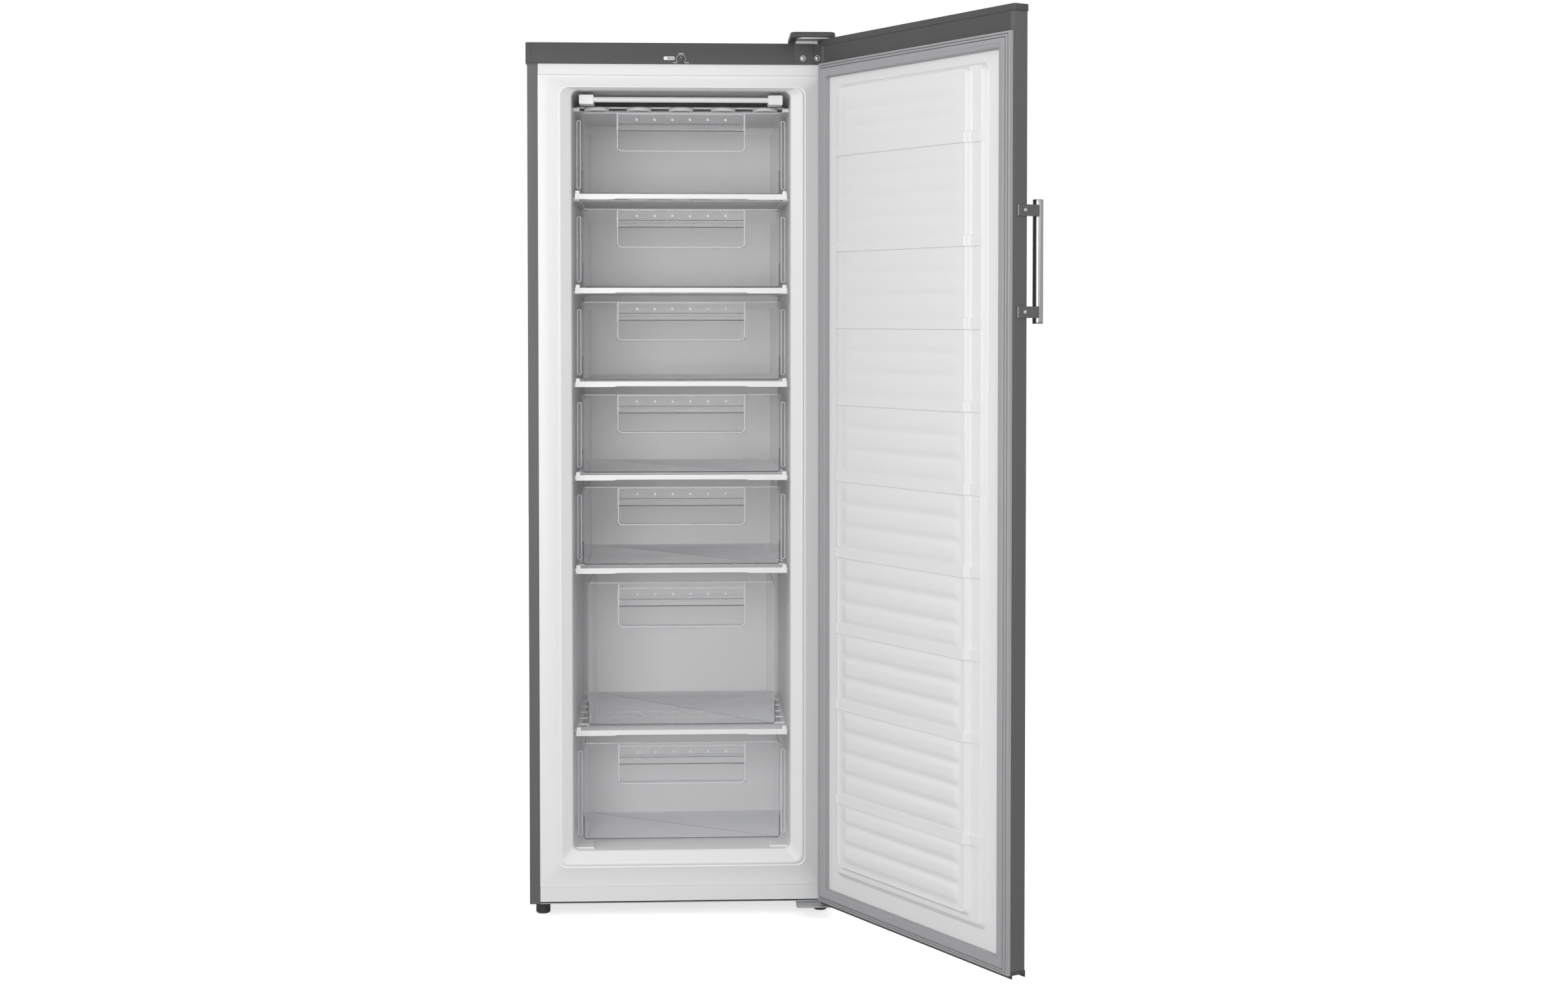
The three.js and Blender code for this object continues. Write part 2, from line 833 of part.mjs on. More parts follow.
// A clear tub whose front wall stands higher than the rest and has a finger pocket let in.
function drawerTub({ bottom, rim, half, back }) {
  const sides = half - rimLip;
  const sideRim = rim - sideDrop;
  const radii = [drawerCornerRadius, drawerCornerRadius, 0, 0];
  const innerRadii = radii.map((r) => Math.max(r - drawerWall, 0));
  const frontBack = drawerFront + frontReturn;
  const outside = join(
    depthwise(roundedRectangle(-sides, sides, bottom, sideRim, radii), drawerFront, back),
    block(-half, half, drawerFront, back + rimLip, sideRim - rimHeight, sideRim),
    block(-sides, sides, drawerFront, frontBack, sideRim - rimHeight, rim),
    block(-half, half, drawerFront, frontBack, rim - rimHeight, rim),
  );
  const inside = depthwise(
    roundedRectangle(-sides + drawerWall, sides - drawerWall, bottom + drawerWall, rim + 1,
      innerRadii),
    drawerFront + drawerWall,
    back - drawerWall,
  );
  const pocket = (grow) => {
    const x = gripHalfWidth + grow;
    const corner = pocketRadius + grow;
    return depthwise(
      roundedRectangle(-x, x, rim - pocketBottom - grow, rim - gripDrop + grow,
        [corner, corner, 0, 0], 3),
      grow > 0 ? drawerFront : drawerFront - 1,
      drawerFront + pocketDepth + grow,
    );
  };
  return cut(join(cut(outside, inside), pocket(drawerWall)), pocket(0));
}

// The grip panel on the drawer's front, with the ledge that the fingers pull.
function drawerGrip({ rim }) {
  const back = drawerFront - fit;
  const ledgeTop = rim - gripDrop;
  const outline = [
    point(back, ledgeTop - ledgeThickness),
    point(back, rim),
    point(back - gripThickness, rim),
    point(back - gripThickness, ledgeTop),
    point(drawerFront - gripReach, ledgeTop - 1),
    point(drawerFront - gripReach, ledgeTop - ledgeThickness),
  ];
  const cheek = [
    point(back, ledgeTop - ledgeThickness),
    point(back, rim),
    point(back - gripThickness, rim),
    point(drawerFront - gripReach, ledgeTop + ledgeThickness),
    point(drawerFront - gripReach, ledgeTop - ledgeThickness),
  ].toReversed();
  return join(
    crosswise(outline.toReversed(), -gripHalfWidth, gripHalfWidth),
    crosswise(cheek, -gripHalfWidth, -gripHalfWidth + gripThickness),
    crosswise(cheek, gripHalfWidth - gripThickness, gripHalfWidth),
  );
}

// ---- Door ---------------------------------------------------------------------------
// The door is drawn shut and then turned about its pin.

const panelBottom = doorBottom + doorCapHeight + fit;
const panelTop = doorTop - doorCapHeight - fit;
const plugBottom = linerFloor - frameBottomWidth - plugBottomGap;
const plugTop = openingTop + frameTopWidth - plugTopGap;
const headerBottom = doorTop - doorHeader;

// Plug rings at a height above the inner face: foot, terrace edge, step foot and field edge.
function plugSpace(inset) {
  const footX = sideX - plugSideInset;
  const ring = (proud, side, low, high) => ({
    y: doorInner + proud,
    x: footX - side - inset,
    z0: plugBottom + low + inset,
    z1: plugTop - high - inset,
    radius: Math.max(plugRadius - inset, 1),
  });
  const draftHigh = plugDraft / 2;
  const stepSide = plugDraft + terraceWidth;
  const stepLow = plugBottomDraft + terraceBottomWidth;
  const stepHigh = draftHigh + terraceTopWidth;
  const terrace = taperedBlock(
    ring(inset > 0 ? -doorLinerWall - 1 : -doorLinerWall / 2, 0, 0, 0),
    ring(terraceProud - inset, plugDraft, plugBottomDraft, draftHigh),
  );
  const field = taperedBlock(
    ring(terraceProud - inset - 2, stepSide, stepLow, stepHigh),
    ring(fieldProud - inset, stepSide + plugDraft, stepLow + plugDraft, stepHigh + draftHigh / 2),
  );
  return terrace.add(field);
}

// A rib follows the plug's profile from one edge of the terrace to the other.
function doorRib(centre) {
  const edge = sideX - plugSideInset - plugDraft;
  const stepFoot = edge - terraceWidth;
  const stepHead = stepFoot - plugDraft;
  const low = doorInner + terraceProud + ribProud;
  const high = doorInner + fieldProud + ribProud;
  const half = [
    point(edge, doorInner),
    point(edge, low - ribProud / 2),
    point(edge - ribProud, low),
    point(stepFoot, low),
    point(stepHead, high),
  ];
  const mirrored = half.map((p) => point(-p.x, p.y)).toReversed();
  return upright([...half, ...mirrored], centre - ribHeight / 2, centre + ribHeight / 2);
}

function doorLiner() {
  const edge = sideX - doorReturn - fit;
  const flange = block(-edge, edge, doorInner - doorLinerWall, doorInner, panelBottom,
    headerBottom - fit);
  const ribs = [];
  let centre = plugTop - ribTopDrop;
  for (let i = 0; i < ribCount; i++) {
    ribs.push(doorRib(centre));
    centre -= i === 0 || i === ribCount - 2 ? ribEndPitch : ribPitch;
  }
  return cut(join(flange, plugSpace(0), ...ribs), plugSpace(doorLinerWall));
}

function doorFoam() {
  const x = sideX - sheet - fit;
  const front = doorOuter + sheet + fit;
  const back = doorInner - doorLinerWall - fit;
  const slab = upright(
    roundedRectangle(-x, x, front, back, [doorCornerRadius, doorCornerRadius, 0, 0]),
    panelBottom,
    panelTop,
  );
  return slab.add(plugSpace(doorLinerWall + fit));
}

// The front and sides folded from one sheet, turned in over the liner's edges.
function doorOuterPanel() {
  const radii = [doorCornerRadius, doorCornerRadius, 0, 0];
  const outer = roundedRectangle(-sideX, sideX, doorOuter, doorInner, radii);
  const inner = roundedRectangle(
    -sideX + sheet,
    sideX - sheet,
    doorOuter + sheet,
    doorInner - sheet,
    radii.map((r) => Math.max(r - sheet, 0)),
  );
  const mouth = sideX - doorReturn;
  return cut(
    upright(outer, panelBottom, panelTop),
    upright(inner, panelBottom - 1, panelTop + 1),
    block(-mouth, mouth, doorInner - sheet - 1, doorInner + 1, panelBottom - 1, panelTop + 1),
  );
}

const pinHole = (z0, z1) =>
  rod("z", pinDiameter + 2 * pinClearance, z1 - z0, [pinX, pinY, z0]);

// The end cap, with the dark band that reaches down inside the door to the gasket.
function doorTopCap() {
  const x = sideX + doorCapProud;
  const radii = allCorners(doorCornerRadius);
  const plate = upright(
    roundedRectangle(-x, x, doorOuter - doorCapProud, doorInner + doorCapProud, radii, 3),
    panelTop + fit,
    doorTop,
  );
  const bandX = sideX - doorReturn - fit;
  const band = block(-bandX, bandX, doorInner - doorLinerWall, doorInner, headerBottom,
    panelTop + fit + 1);
  return join(plate, band).subtract(pinHole(panelTop, doorTop + 1));
}

// The lower end cap is a plate with two edges turned down, so its underside is a channel.
function doorBottomCap() {
  const outline = [
    point(doorOuter, doorBottom),
    point(doorOuter + channelWall, doorBottom),
    point(doorOuter + channelWall, doorBottom + channelHeight),
    point(doorInner - channelWall, doorBottom + channelHeight),
    point(doorInner - channelWall, doorBottom),
    point(doorInner, doorBottom),
    point(doorInner, panelBottom - fit),
    point(doorOuter, panelBottom - fit),
  ];
  return crosswise(outline, -sideX, sideX).subtract(pinHole(doorBottom, panelBottom));
}

// The seal: one soft section with a hollow lip, mitred round the four corners.
function gasket() {
  const base = doorInner + fit;
  const front = -fit;
  const section = [
    point(0, base),
    point(0, base + 5),
    point(1.5, front - 2),
    point(6, front),
    point(gasketWidth - 6, front),
    point(gasketWidth - 1.5, front - 2),
    point(gasketWidth, base + 5),
    point(gasketWidth, base),
  ];
  const outerX = sideX - gasketInset;
  const low = doorBottom + gasketBottomRise;
  const high = headerBottom;
  const corners = [
    [-1, -1, low],
    [1, -1, low],
    [1, 1, high],
    [-1, 1, high],
  ];
  const count = section.length;
  const positions = corners.flatMap(([sx, sz, z]) =>
    section.flatMap((p) => [sx * (outerX - p.x), p.y, z - sz * p.x]),
  );
  const index = [];
  for (let c = 0; c < 4; c++)
    for (let i = 0; i < count; i++) {
      const a = c * count + i;
      const b = c * count + ((i + 1) % count);
      const d = ((c + 1) % 4) * count + i;
      const e = ((c + 1) % 4) * count + ((i + 1) % count);
      index.push(a, b, e, a, e, d);
    }
  const geometry = new THREE.BufferGeometry();
  geometry.setAttribute("position", new THREE.Float32BufferAttribute(positions, 3));
  geometry.setIndex(index);
  return solid(geometry);
}

// The bar stands ahead of the door's free side, between two flat arms screwed to its edge.
const barX = -(sideX + fit) + (barDiameter / 2 + fit);
const barY = doorInner - barStandoff;

function handleBar() {
  return rod("z", barDiameter, barLength, [barX, barY, barTop - barLength], 20);
}

function handleBracket(centre) {
  const x1 = -sideX - fit;
  const x0 = x1 - bracketThickness;
  const half = bracketHeight / 2;
  const outline = roundedRectangle(barY - bracketNose, doorInner - bracketStart, centre - half,
    centre + half, [half - 2, 3, 3, half - 2], 3);
  return crosswise(outline, x0, x1);
}

// ---- Hinges -------------------------------------------------------------------------

const hingePlateBottom = cabinetHeight + fit + hingePadHeight;

function upperHinge() {
  const left = sideX - hingeInset;
  const right = pinX + hingeNose - 3;
  const plate = upright(
    roundedRectangle(left, right, pinY - hingeNose, hingePadDepth, [10, 10, 2, 2]),
    hingePlateBottom,
    hingePlateBottom + hingePlate,
  );
  const pad = block(left, left + hingePadWidth, 2, hingePadDepth, cabinetHeight + fit,
    hingePlateBottom + 1);
  const pinLow = panelTop + fit + 1;
  return join(plate, pad, rod("z", pinDiameter, hingePlateBottom + 1 - pinLow,
    [pinX, pinY, pinLow]));
}

function hingeCover() {
  const bottom = hingePlateBottom + hingePlate + fit;
  const right = sideX;
  const left = right - hingeCoverWidth;
  const front = pinY - hingeNose - 6;
  const radii = allCorners(hingeCoverRadius);
  const body = upright(roundedRectangle(left, right, front, hingeCoverBack, radii), bottom,
    bottom + hingeCoverHeight - 2);
  const inset = 2;
  const crown = upright(
    roundedRectangle(left + inset, right - inset, front + inset, hingeCoverBack - inset, radii),
    bottom + hingeCoverHeight - 3,
    bottom + hingeCoverHeight,
  );
  return body.add(crown);
}

function lowerHinge() {
  const top = floorGap - fit;
  const left = sideX - hingeInset;
  const plate = upright(
    roundedRectangle(left, pinX + hingeNose - 3, pinY - hingeNose, lowerPlateDepth, [8, 8, 2, 2]),
    top - hingePlate,
    top,
  );
  const pinHigh = panelBottom - fit - 1.5;
  const pin = rod("z", pinDiameter, pinHigh - top + 1, [pinX, pinY, top - 1]);
  const hole = rod("z", footStudDiameter + 2 * fit, hingePlate + 2,
    [sideX - footInset, footSetback, top - hingePlate - 1], 12);
  return join(plate, pin).subtract(hole);
}

// ---- Base, feet and rollers ---------------------------------------------------------

const rollerX = sideX - rollerInset;
const rollerY = cabinetDepth - rollerSetback;
const rollerZ = rollerDiameter / 2;

// The floor of the cabinet, with the compressor's bosses and the rollers' ears and axles.
function basePlate() {
  const x = sideX - sheet - fit;
  let body = block(-x, x, sheet + fit, cabinetDepth, floorGap, baseTop);
  for (const side of [-1, 1]) {
    body = body.subtract(rod("z", footStudDiameter + 2 * fit, baySheet + 2,
      [side * (sideX - footInset), footSetback, floorGap - 1], 12));
    const gap = rollerWidth / 2 + 1;
    body = body.subtract(block(side * rollerX - gap, side * rollerX + gap,
      rollerY - earLength / 2, rollerY + earLength / 2, floorGap - 1, baseTop + 1));
    for (const edge of [-1, 1]) {
      const near = side * rollerX + edge * gap;
      const xs = [near, near + edge * earThickness].sort((a, b) => a - b);
      const half = earLength / 2;
      body = body.add(block(xs[0], xs[1], rollerY - half, rollerY + half, rollerZ - 5,
        floorGap + 1));
    }
    const axle = 2 * (gap + earThickness);
    body = body.add(rod("x", axleDiameter, axle, [side * rollerX - axle / 2, rollerY, rollerZ],
      12));
  }
  for (const [dx, dy] of compressorBolts())
    body = body.add(rod("z", bossDiameter, bossHeight + 1,
      [compressorX + dx, compressorY + dy, baseTop - 1], 12));
  return body;
}

const foot = () => {
  const radius = footDiameter / 2;
  const profile = [
    point(0, 0),
    point(radius - footBevel, 0),
    point(radius - 1, 1.5),
    point(radius, footBevel),
    point(radius, footHeight - 1),
    point(radius - 1, footHeight),
    point(footStudDiameter / 2, footHeight),
    point(footStudDiameter / 2, footStudTop),
    point(0, footStudTop),
  ];
  return solid(new THREE.LatheGeometry(profile, 16).rotateX(Math.PI / 2));
};

function roller() {
  const radius = rollerDiameter / 2;
  const bore = axleDiameter / 2 + fit;
  const half = rollerWidth / 2;
  const profile = [
    point(bore, -half),
    point(radius - 1.5, -half),
    point(radius, -half + 1.5),
    point(radius, half - 1.5),
    point(radius - 1.5, half),
    point(bore, half),
    point(bore, -half),
  ];
  return solid(new THREE.LatheGeometry(profile, 16).rotateZ(-Math.PI / 2));
}

// ---- Compressor bay -----------------------------------------------------------------

const compressorY = bayFront + sheet + compressorRadius + seamProud + 5;
const compressorBase = baseTop + bossHeight + fit;

function compressorBolts() {
  const x = footPlateWidth / 2 - bossInset;
  const y = footPlateDepth / 2 - bossInset;
  return [
    [-x, -y],
    [x, -y],
    [x, y],
    [-x, y],
  ];
}

function compressor() {
  const r = compressorRadius;
  const h = compressorHeight;
  const seam = compressorSeam;
  const profile = [
    point(0, 1),
    point(r * 0.8, 1),
    point(r * 0.97, 12),
    point(r, seam - seamChamfer),
    point(r + seamProud, seam),
    point(r + seamProud, seam + seamWidth),
    point(r, seam + seamWidth + seamChamfer),
    point(r * 0.96, h * 0.78),
    point(r * 0.78, h * 0.93),
    point(r * 0.4, h),
    point(0, h + 1),
  ];
  const pot = solid(new THREE.LatheGeometry(profile, 16).rotateX(Math.PI / 2));
  const plate = upright(
    roundedRectangle(-footPlateWidth / 2, footPlateWidth / 2, -footPlateDepth / 2,
      footPlateDepth / 2, allCorners(14)),
    0,
    compressorFoot,
  );
  return join(pot, plate).translate([compressorX, compressorY, compressorBase]);
}

function starterBox() {
  const x0 = compressorX + compressorRadius + seamProud + fit;
  const z0 = compressorBase + compressorSeam - starterHeight / 2;
  const half = starterDepth / 2;
  return crosswise(
    roundedRectangle(compressorY - half, compressorY + half, z0, z0 + starterHeight,
      allCorners(6), 3),
    x0,
    x0 + starterWidth,
  );
}

const dryerY = bayFront + sheet + fit + dryerDiameter / 2;
const dryerZ = baseTop + 60;

function filterDryer() {
  const r = dryerDiameter / 2;
  const profile = [
    point(0, 0),
    point(r * 0.35, 0),
    point(r, 10),
    point(r, dryerLength - 10),
    point(r * 0.35, dryerLength),
    point(0, dryerLength),
  ];
  const body = new THREE.LatheGeometry(profile, 12).rotateX(Math.PI / 2);
  return solid(body.translate(dryerX, dryerY, dryerZ));
}

// From the compressor's side up into the bay's roof.
function suctionTube() {
  const z = compressorBase + compressorSeam - seamChamfer - suctionDiameter;
  const start = compressorX - compressorRadius - fit;
  const corners = [
    vec(start, compressorY, z),
    vec(start - suctionReach, compressorY, z),
    vec(start - suctionReach, compressorY, bayTop - fit),
  ];
  return tube(rounded(corners, 16), suctionDiameter, 8);
}

// The hot tube: out of the compressor, up the back, down through its runs to the dryer.
function condenser() {
  const y = cabinetDepth + condenserStandoff;
  const top = cabinetHeight - condenserTop;
  const bottom = bayTop + condenserBottom;
  const pitch = (top - bottom) / (condenserRuns - 1);
  const riser = sideX - condenserSideInset;
  const runEnd = riser - condenserTube - condenserRiserGap - pitch / 2;
  const outlet = compressorBase + compressorSeam + seamWidth + seamChamfer + condenserTube;
  const feed = rounded(
    [
      vec(compressorX, compressorY + compressorRadius + fit, outlet),
      vec(compressorX, y, outlet),
      vec(riser, y, outlet),
      vec(riser, y, top),
      vec(runEnd, y, top),
    ],
    condenserBend,
  );
  const coil = serpentine(vec(runEnd, y, top), vec(0, 0, -1), vec(-1, 0, 0), condenserRuns, pitch,
    2 * runEnd);
  const turnBack = bayTop - 2 * condenserBend;
  const returnX = riser - condenserReturnInset;
  const returnLeg = rounded(
    [
      coil.at(-1),
      vec(returnX, y, bottom),
      vec(returnX, y, turnBack),
      vec(dryerX, y, turnBack),
      vec(dryerX, dryerY, turnBack),
      vec(dryerX, dryerY, dryerZ + dryerLength + fit),
    ],
    condenserBend,
  );
  let body = tube([...feed.slice(0, -1), ...coil.slice(0, -1), ...returnLeg], condenserTube);
  const barBack = y - condenserTube / 2 + condenserBite;
  const barFront = barBack - condenserBarSheet;
  const half = condenserBar / 2;
  for (const side of [-1, 1]) {
    const x = (side * condenserBarSpacing) / 2;
    body = body.add(block(x - half, x + half, barFront, barBack, bottom - condenserBar,
      top + condenserBar));
    for (const z of [bottom + pitch / 2, top - pitch / 2])
      body = body.add(block(x - half, x + half, cabinetDepth + fit, barBack,
        z - standoffHeight / 2, z + standoffHeight / 2));
  }
  return body;
}

// ---- Assembly -----------------------------------------------------------------------

piece(cabinet, "outer_shell", outerShell(), darkSteel);
piece(cabinet, "back_panel", backPanel(), zincSteel);
piece(cabinet, "inner_liner", innerLiner(), whitePlastic);
piece(cabinet, "cabinet_foam", cabinetFoam(), foamYellow);
piece(cabinet, "top_cover", topCover(), darkPlastic);
piece(cabinet, "indicator_window",
  indicatorPlate(0, -coverFront - 0.6, windowRecess + 0.6), whitePlastic);
piece(cabinet, "thermostat_body", thermostat(), whitePlastic);
piece(cabinet, "thermostat_dial", dial(), darkPlastic);
piece(cabinet, "upper_crossbar", crossbar(...upperBar), whiteSteel);
piece(cabinet, "lower_crossbar", crossbar(...lowerBar), whiteSteel);
piece(cabinet, "base_plate", basePlate(), zincSteel);
piece(cabinet, "compressor", compressor(), blackEnamel);
piece(cabinet, "starter_box", starterBox(), blackPlastic);
piece(cabinet, "filter_dryer", filterDryer(), copper);
piece(cabinet, "suction_tube", suctionTube(), copper);
piece(cabinet, "condenser", condenser(), blackEnamel);
piece(cabinet, "upper_hinge_bracket", upperHinge(), zincSteel);
piece(cabinet, "hinge_cover", hingeCover(), darkPlastic);
piece(cabinet, "lower_hinge_bracket", lowerHinge(), zincSteel);

const shelfBody = coolingShelf();
const trimBody = shelfTrim();
shelfTops().forEach((top, i) => {
  const shelf = piece(cabinet, `cooling_shelf_${i + 1}`, shelfBody, whiteSteel);
  shelf.position.z = top;
  const body = i === 0 ? topTrim() : trimBody;
  const trim = piece(cabinet, `shelf_trim_${i + 1}`, body, whitePlastic);
  trim.position.z = trimTops[i];
});

drawerSizes().forEach((size, i) => {
  const drawer = new THREE.Group();
  cabinet.add(drawer);
  piece(drawer, `drawer_tub_${i + 1}`, drawerTub(size), clearPlastic);
  piece(drawer, `drawer_grip_${i + 1}`, drawerGrip(size), clearPlastic);
});

const door = new THREE.Group();
const swing = new THREE.Group();
swing.position.set(pinX, pinY, 0);
swing.rotation.z = THREE.MathUtils.degToRad(doorOpenAngle);
door.position.set(-pinX, -pinY, 0);
swing.add(door);
freezer.add(swing);
piece(door, "door_outer_panel", doorOuterPanel(), darkSteel);
piece(door, "door_foam", doorFoam(), foamYellow);
piece(door, "door_liner", doorLiner(), whitePlastic);
piece(door, "door_gasket", gasket(), gasketRubber);
piece(door, "door_top_cap", doorTopCap(), darkPlastic);
piece(door, "door_bottom_cap", doorBottomCap(), darkPlastic);
piece(door, "door_handle_bar", handleBar(), brushedSteel);
const armInset = bracketInset + bracketHeight / 2;
piece(door, "handle_bracket_upper", handleBracket(barTop - armInset), darkSteel);
piece(door, "handle_bracket_lower", handleBracket(barTop - barLength + armInset), darkSteel);

for (const [name, side] of [["front_left_foot", -1], ["front_right_foot", 1]])
  piece(cabinet, name, foot(), rubberBlack).position.set(side * (sideX - footInset), footSetback, 0);
for (const [name, side] of [["rear_left_roller", -1], ["rear_right_roller", 1]])
  piece(cabinet, name, roller(), blackPlastic).position.set(side * rollerX, rollerY, rollerZ);

// The origin is the middle of the whole footprint, on the floor.
freezer.updateMatrixWorld(true);
const extent = new THREE.Box3().setFromObject(freezer, true);
const middle = extent.getCenter(new THREE.Vector3());
for (const part of [cabinet, swing]) {
  part.position.x -= middle.x;
  part.position.y -= middle.y;
}

export default freezer;
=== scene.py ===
"""Visual model of an upright freezer with seven clear drawers and an open, ribbed door.

Sizes are written in millimetres from the cabinet's own corner: x from its middle, y from its
front flange, z from the floor. The door's pieces are drawn with the door shut, then hung open.
"""

import json
import math
from types import SimpleNamespace

import bmesh
import bpy
from mathutils import Matrix, Vector


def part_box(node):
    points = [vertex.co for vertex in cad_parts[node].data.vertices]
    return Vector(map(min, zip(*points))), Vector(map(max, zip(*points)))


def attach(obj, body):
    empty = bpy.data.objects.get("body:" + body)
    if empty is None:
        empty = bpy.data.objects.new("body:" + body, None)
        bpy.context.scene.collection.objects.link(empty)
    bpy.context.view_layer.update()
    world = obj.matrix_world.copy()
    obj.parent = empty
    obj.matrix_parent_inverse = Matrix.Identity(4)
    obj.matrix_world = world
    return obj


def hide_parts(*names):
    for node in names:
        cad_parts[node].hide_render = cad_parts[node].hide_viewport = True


bl_info = {
    "name": "Upright Freezer",
    "version": (1, 0, 0),
    "blender": (4, 5, 0),
    "location": "View3D > Sidebar > Freezer",
    "description": "Builds the visual pieces of an upright freezer on its CAD frame",
    "category": "Add Mesh",
}

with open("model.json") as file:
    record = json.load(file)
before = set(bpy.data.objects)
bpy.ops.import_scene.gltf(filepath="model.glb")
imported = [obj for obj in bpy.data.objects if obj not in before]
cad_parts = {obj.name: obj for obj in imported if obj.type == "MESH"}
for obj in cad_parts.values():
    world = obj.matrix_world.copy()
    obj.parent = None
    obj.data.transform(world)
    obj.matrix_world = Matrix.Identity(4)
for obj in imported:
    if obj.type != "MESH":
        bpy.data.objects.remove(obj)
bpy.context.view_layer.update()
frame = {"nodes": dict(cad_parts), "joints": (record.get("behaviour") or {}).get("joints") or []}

MM = 0.001
DOOR_ANGLE = math.radians(120)
DRAWERS = range(1, 8)


# ---- Places -------------------------------------------------------------------------


def cabinet_place():
    """Turns the cabinet's millimetres into the frame's metres."""
    low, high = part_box("outer_shell")
    return Matrix.Translation(((low.x + high.x) / 2, low.y, 0)) @ Matrix.Scale(MM, 4)


def door_place():
    """Turns the shut door's millimetres into the frame's metres, with the door hung open."""
    hinge = next(j for j in frame["joints"] if j["name"] == "door_hinge")
    pin = CABINET.inverted() @ Vector(hinge["pos_m"])
    pin.z = 0
    return (
        CABINET
        @ Matrix.Translation(pin)
        @ Matrix.Rotation(DOOR_ANGLE, 4, "Z")
        @ Matrix.Translation(-pin)
    )


CABINET = cabinet_place()
DOOR = door_place()


def cad(node, place=CABINET):
    """The box of a CAD node, with its middle, in the millimetres of the cabinet or of the
    shut door."""
    back = place.inverted()
    points = [back @ v.co for v in frame["nodes"][node].data.vertices]
    low = [min(p[k] for p in points) for k in range(3)]
    high = [max(p[k] for p in points) for k in range(3)]
    x, y, z = [(a + b) / 2 for a, b in zip(low, high)]
    return SimpleNamespace(
        x0=low[0], x1=high[0], y0=low[1], y1=high[1], z0=low[2], z1=high[2], x=x, y=y, z=z
    )


# ---- Sizes and colours ----------------------------------------------------------------


def length(name, description, millimetres):
    return bpy.props.FloatProperty(
        name=name, description=description, default=millimetres * MM, unit="LENGTH"
    )


def linear(hex_colour):
    """An sRGB hex colour as linear red, green, blue and a full alpha."""
    channels = [((hex_colour >> shift) & 255) / 255 for shift in (16, 8, 0)]
    return tuple(
        c / 12.92 if c <= 0.04045 else ((c + 0.055) / 1.055) ** 2.4 for c in channels
    ) + (1.0,)


def colour(name, description, hex_colour):
    return bpy.props.FloatVectorProperty(
        name=name,
        description=description,
        default=linear(hex_colour),
        size=4,
        min=0,
        max=1,
        subtype="COLOR",
    )


class FreezerSizes(bpy.types.PropertyGroup):
    """Sizes of the freezer's details."""

    panel_bevel: length("Panel edge", "Rounding of the folded sheet panels", 1.4)
    mould_bevel: length("Moulded edge", "Rounding of the moulded pieces", 0.8)
    opening_half: length("Opening half width", "Middle of the liner to its side wall", 213)
    opening_floor: length("Opening floor", "Floor to the lowest part of the liner", 127.5)
    opening_top: length("Opening top", "Floor to the liner's roof", 1613)
    opening_radius: length("Opening corner", "Corner radius of the liner", 14)
    mouth_depth: length("Mouth depth", "Depth of the liner's sloping mouth", 10)
    frame_proud: length("Frame height", "Raised rim round the opening", 1.5)
    step_front: length("Step front", "Flange to the step over the compressor", 335)
    step_top: length("Step top", "Floor to the top of that step", 345)
    liner_depth: length("Liner depth", "Flange to the liner's back wall", 490)
    liner_wall: length("Liner wall", "Thickness of the liner", 2)
    tube: length("Shelf tube", "Diameter of the cooling tube", 8)
    wire: length("Shelf wire", "Diameter of the wires that tie the tube", 4)
    drawer_wall: length("Drawer wall", "Thickness of a drawer", 2.4)
    drawer_draft: length("Drawer draft", "Lean of a drawer's sides, top to bottom", 0.5)
    pocket_depth: length("Pocket depth", "Depth of a drawer's finger pocket", 22)
    pocket_drop: length("Pocket drop", "Drawer's rim to the foot of its pocket", 75)
    grip_drop: length("Grip drop", "Drawer's rim to the finger ledge", 28)
    grip_half: length("Grip half width", "Half the width of a drawer's grip", 125)
    grip_height: length("Grip height", "Drawer's rim to the foot of its grip", 37)
    pin: length("Grip pin", "Diameter of the small rings on a grip", 5.2)
    pin_pitch: length("Grip pin pitch", "Spacing of those rings", 35)
    bead: length("Pocket bead", "Diameter of the bead round a pocket", 2.2)
    sheet: length("Shelf sheet", "Thickness of the sheet under the cooling tube", 0.8)
    rib_proud: length("Rib height", "Height of the door liner's cross ribs", 3.2)
    rib_width: length("Rib width", "Width of those ribs", 20)
    wave_height: length("Wave height", "Height of the soft waves on the door liner", 4)
    wave_pitch: length("Wave pitch", "Spacing of those waves", 37)
    screw: length("Screw head", "Diameter of a screw's head", 8.6)
    foot_rib: length("Foot rib", "Width of a grip rib on a foot", 2)


class FreezerColours(bpy.types.PropertyGroup):
    """Colours of the freezer's finishes."""

    paint: colour("Dark paint", "Shell and door panel", 0x5B5B5C)
    trim: colour("Dark plastic", "Cover, caps and dial", 0x484849)
    liner: colour("Liner", "Formed sheet of the liners", 0xE6E6E7)
    white_paint: colour("White paint", "Front beams", 0xE2E2E3)
    coated: colour("Coated tube", "Cooling shelves", 0xE6E6E7)
    clear: colour("Clear plastic", "Drawers", 0xE4E5E7)
    # Painted shade: a dark copy of the clear plastic, for the dark lines along the drawers' edges.
    painted_edge_shade: colour("Clear plastic edge", "Turned edges of the drawers", 0x5E6063)
    seal: colour("Seal", "Door gasket", 0xA3A3A5)
    bar: colour("Handle bar", "Brushed bar", 0x98989A)
    zinc: colour("Zinc", "Plated brackets and back", 0xB4B6B8)
    enamel: colour("Enamel", "Compressor and condenser", 0x18181A)
    black: colour("Black plastic", "Starter box and rollers", 0x2A2A2B)
    foot: colour("Foot", "Levelling feet", 0x3F4042)
    copper: colour("Copper", "Dryer and suction tube", 0xB87348)
    foam: colour("Foam", "Insulation", 0xD8CF9E)
    mark: colour("Mark", "Printed marks on the cover", 0xC9CACB)
    floor: colour("Floor", "Studio floor", 0xD0D0D0)


def sizes(context):
    """The freezer's sizes in millimetres."""
    group = context.scene.freezer_sizes
    return SimpleNamespace(
        **{name: getattr(group, name) / MM for name in FreezerSizes.__annotations__}
    )


# ---- Shapes -------------------------------------------------------------------------


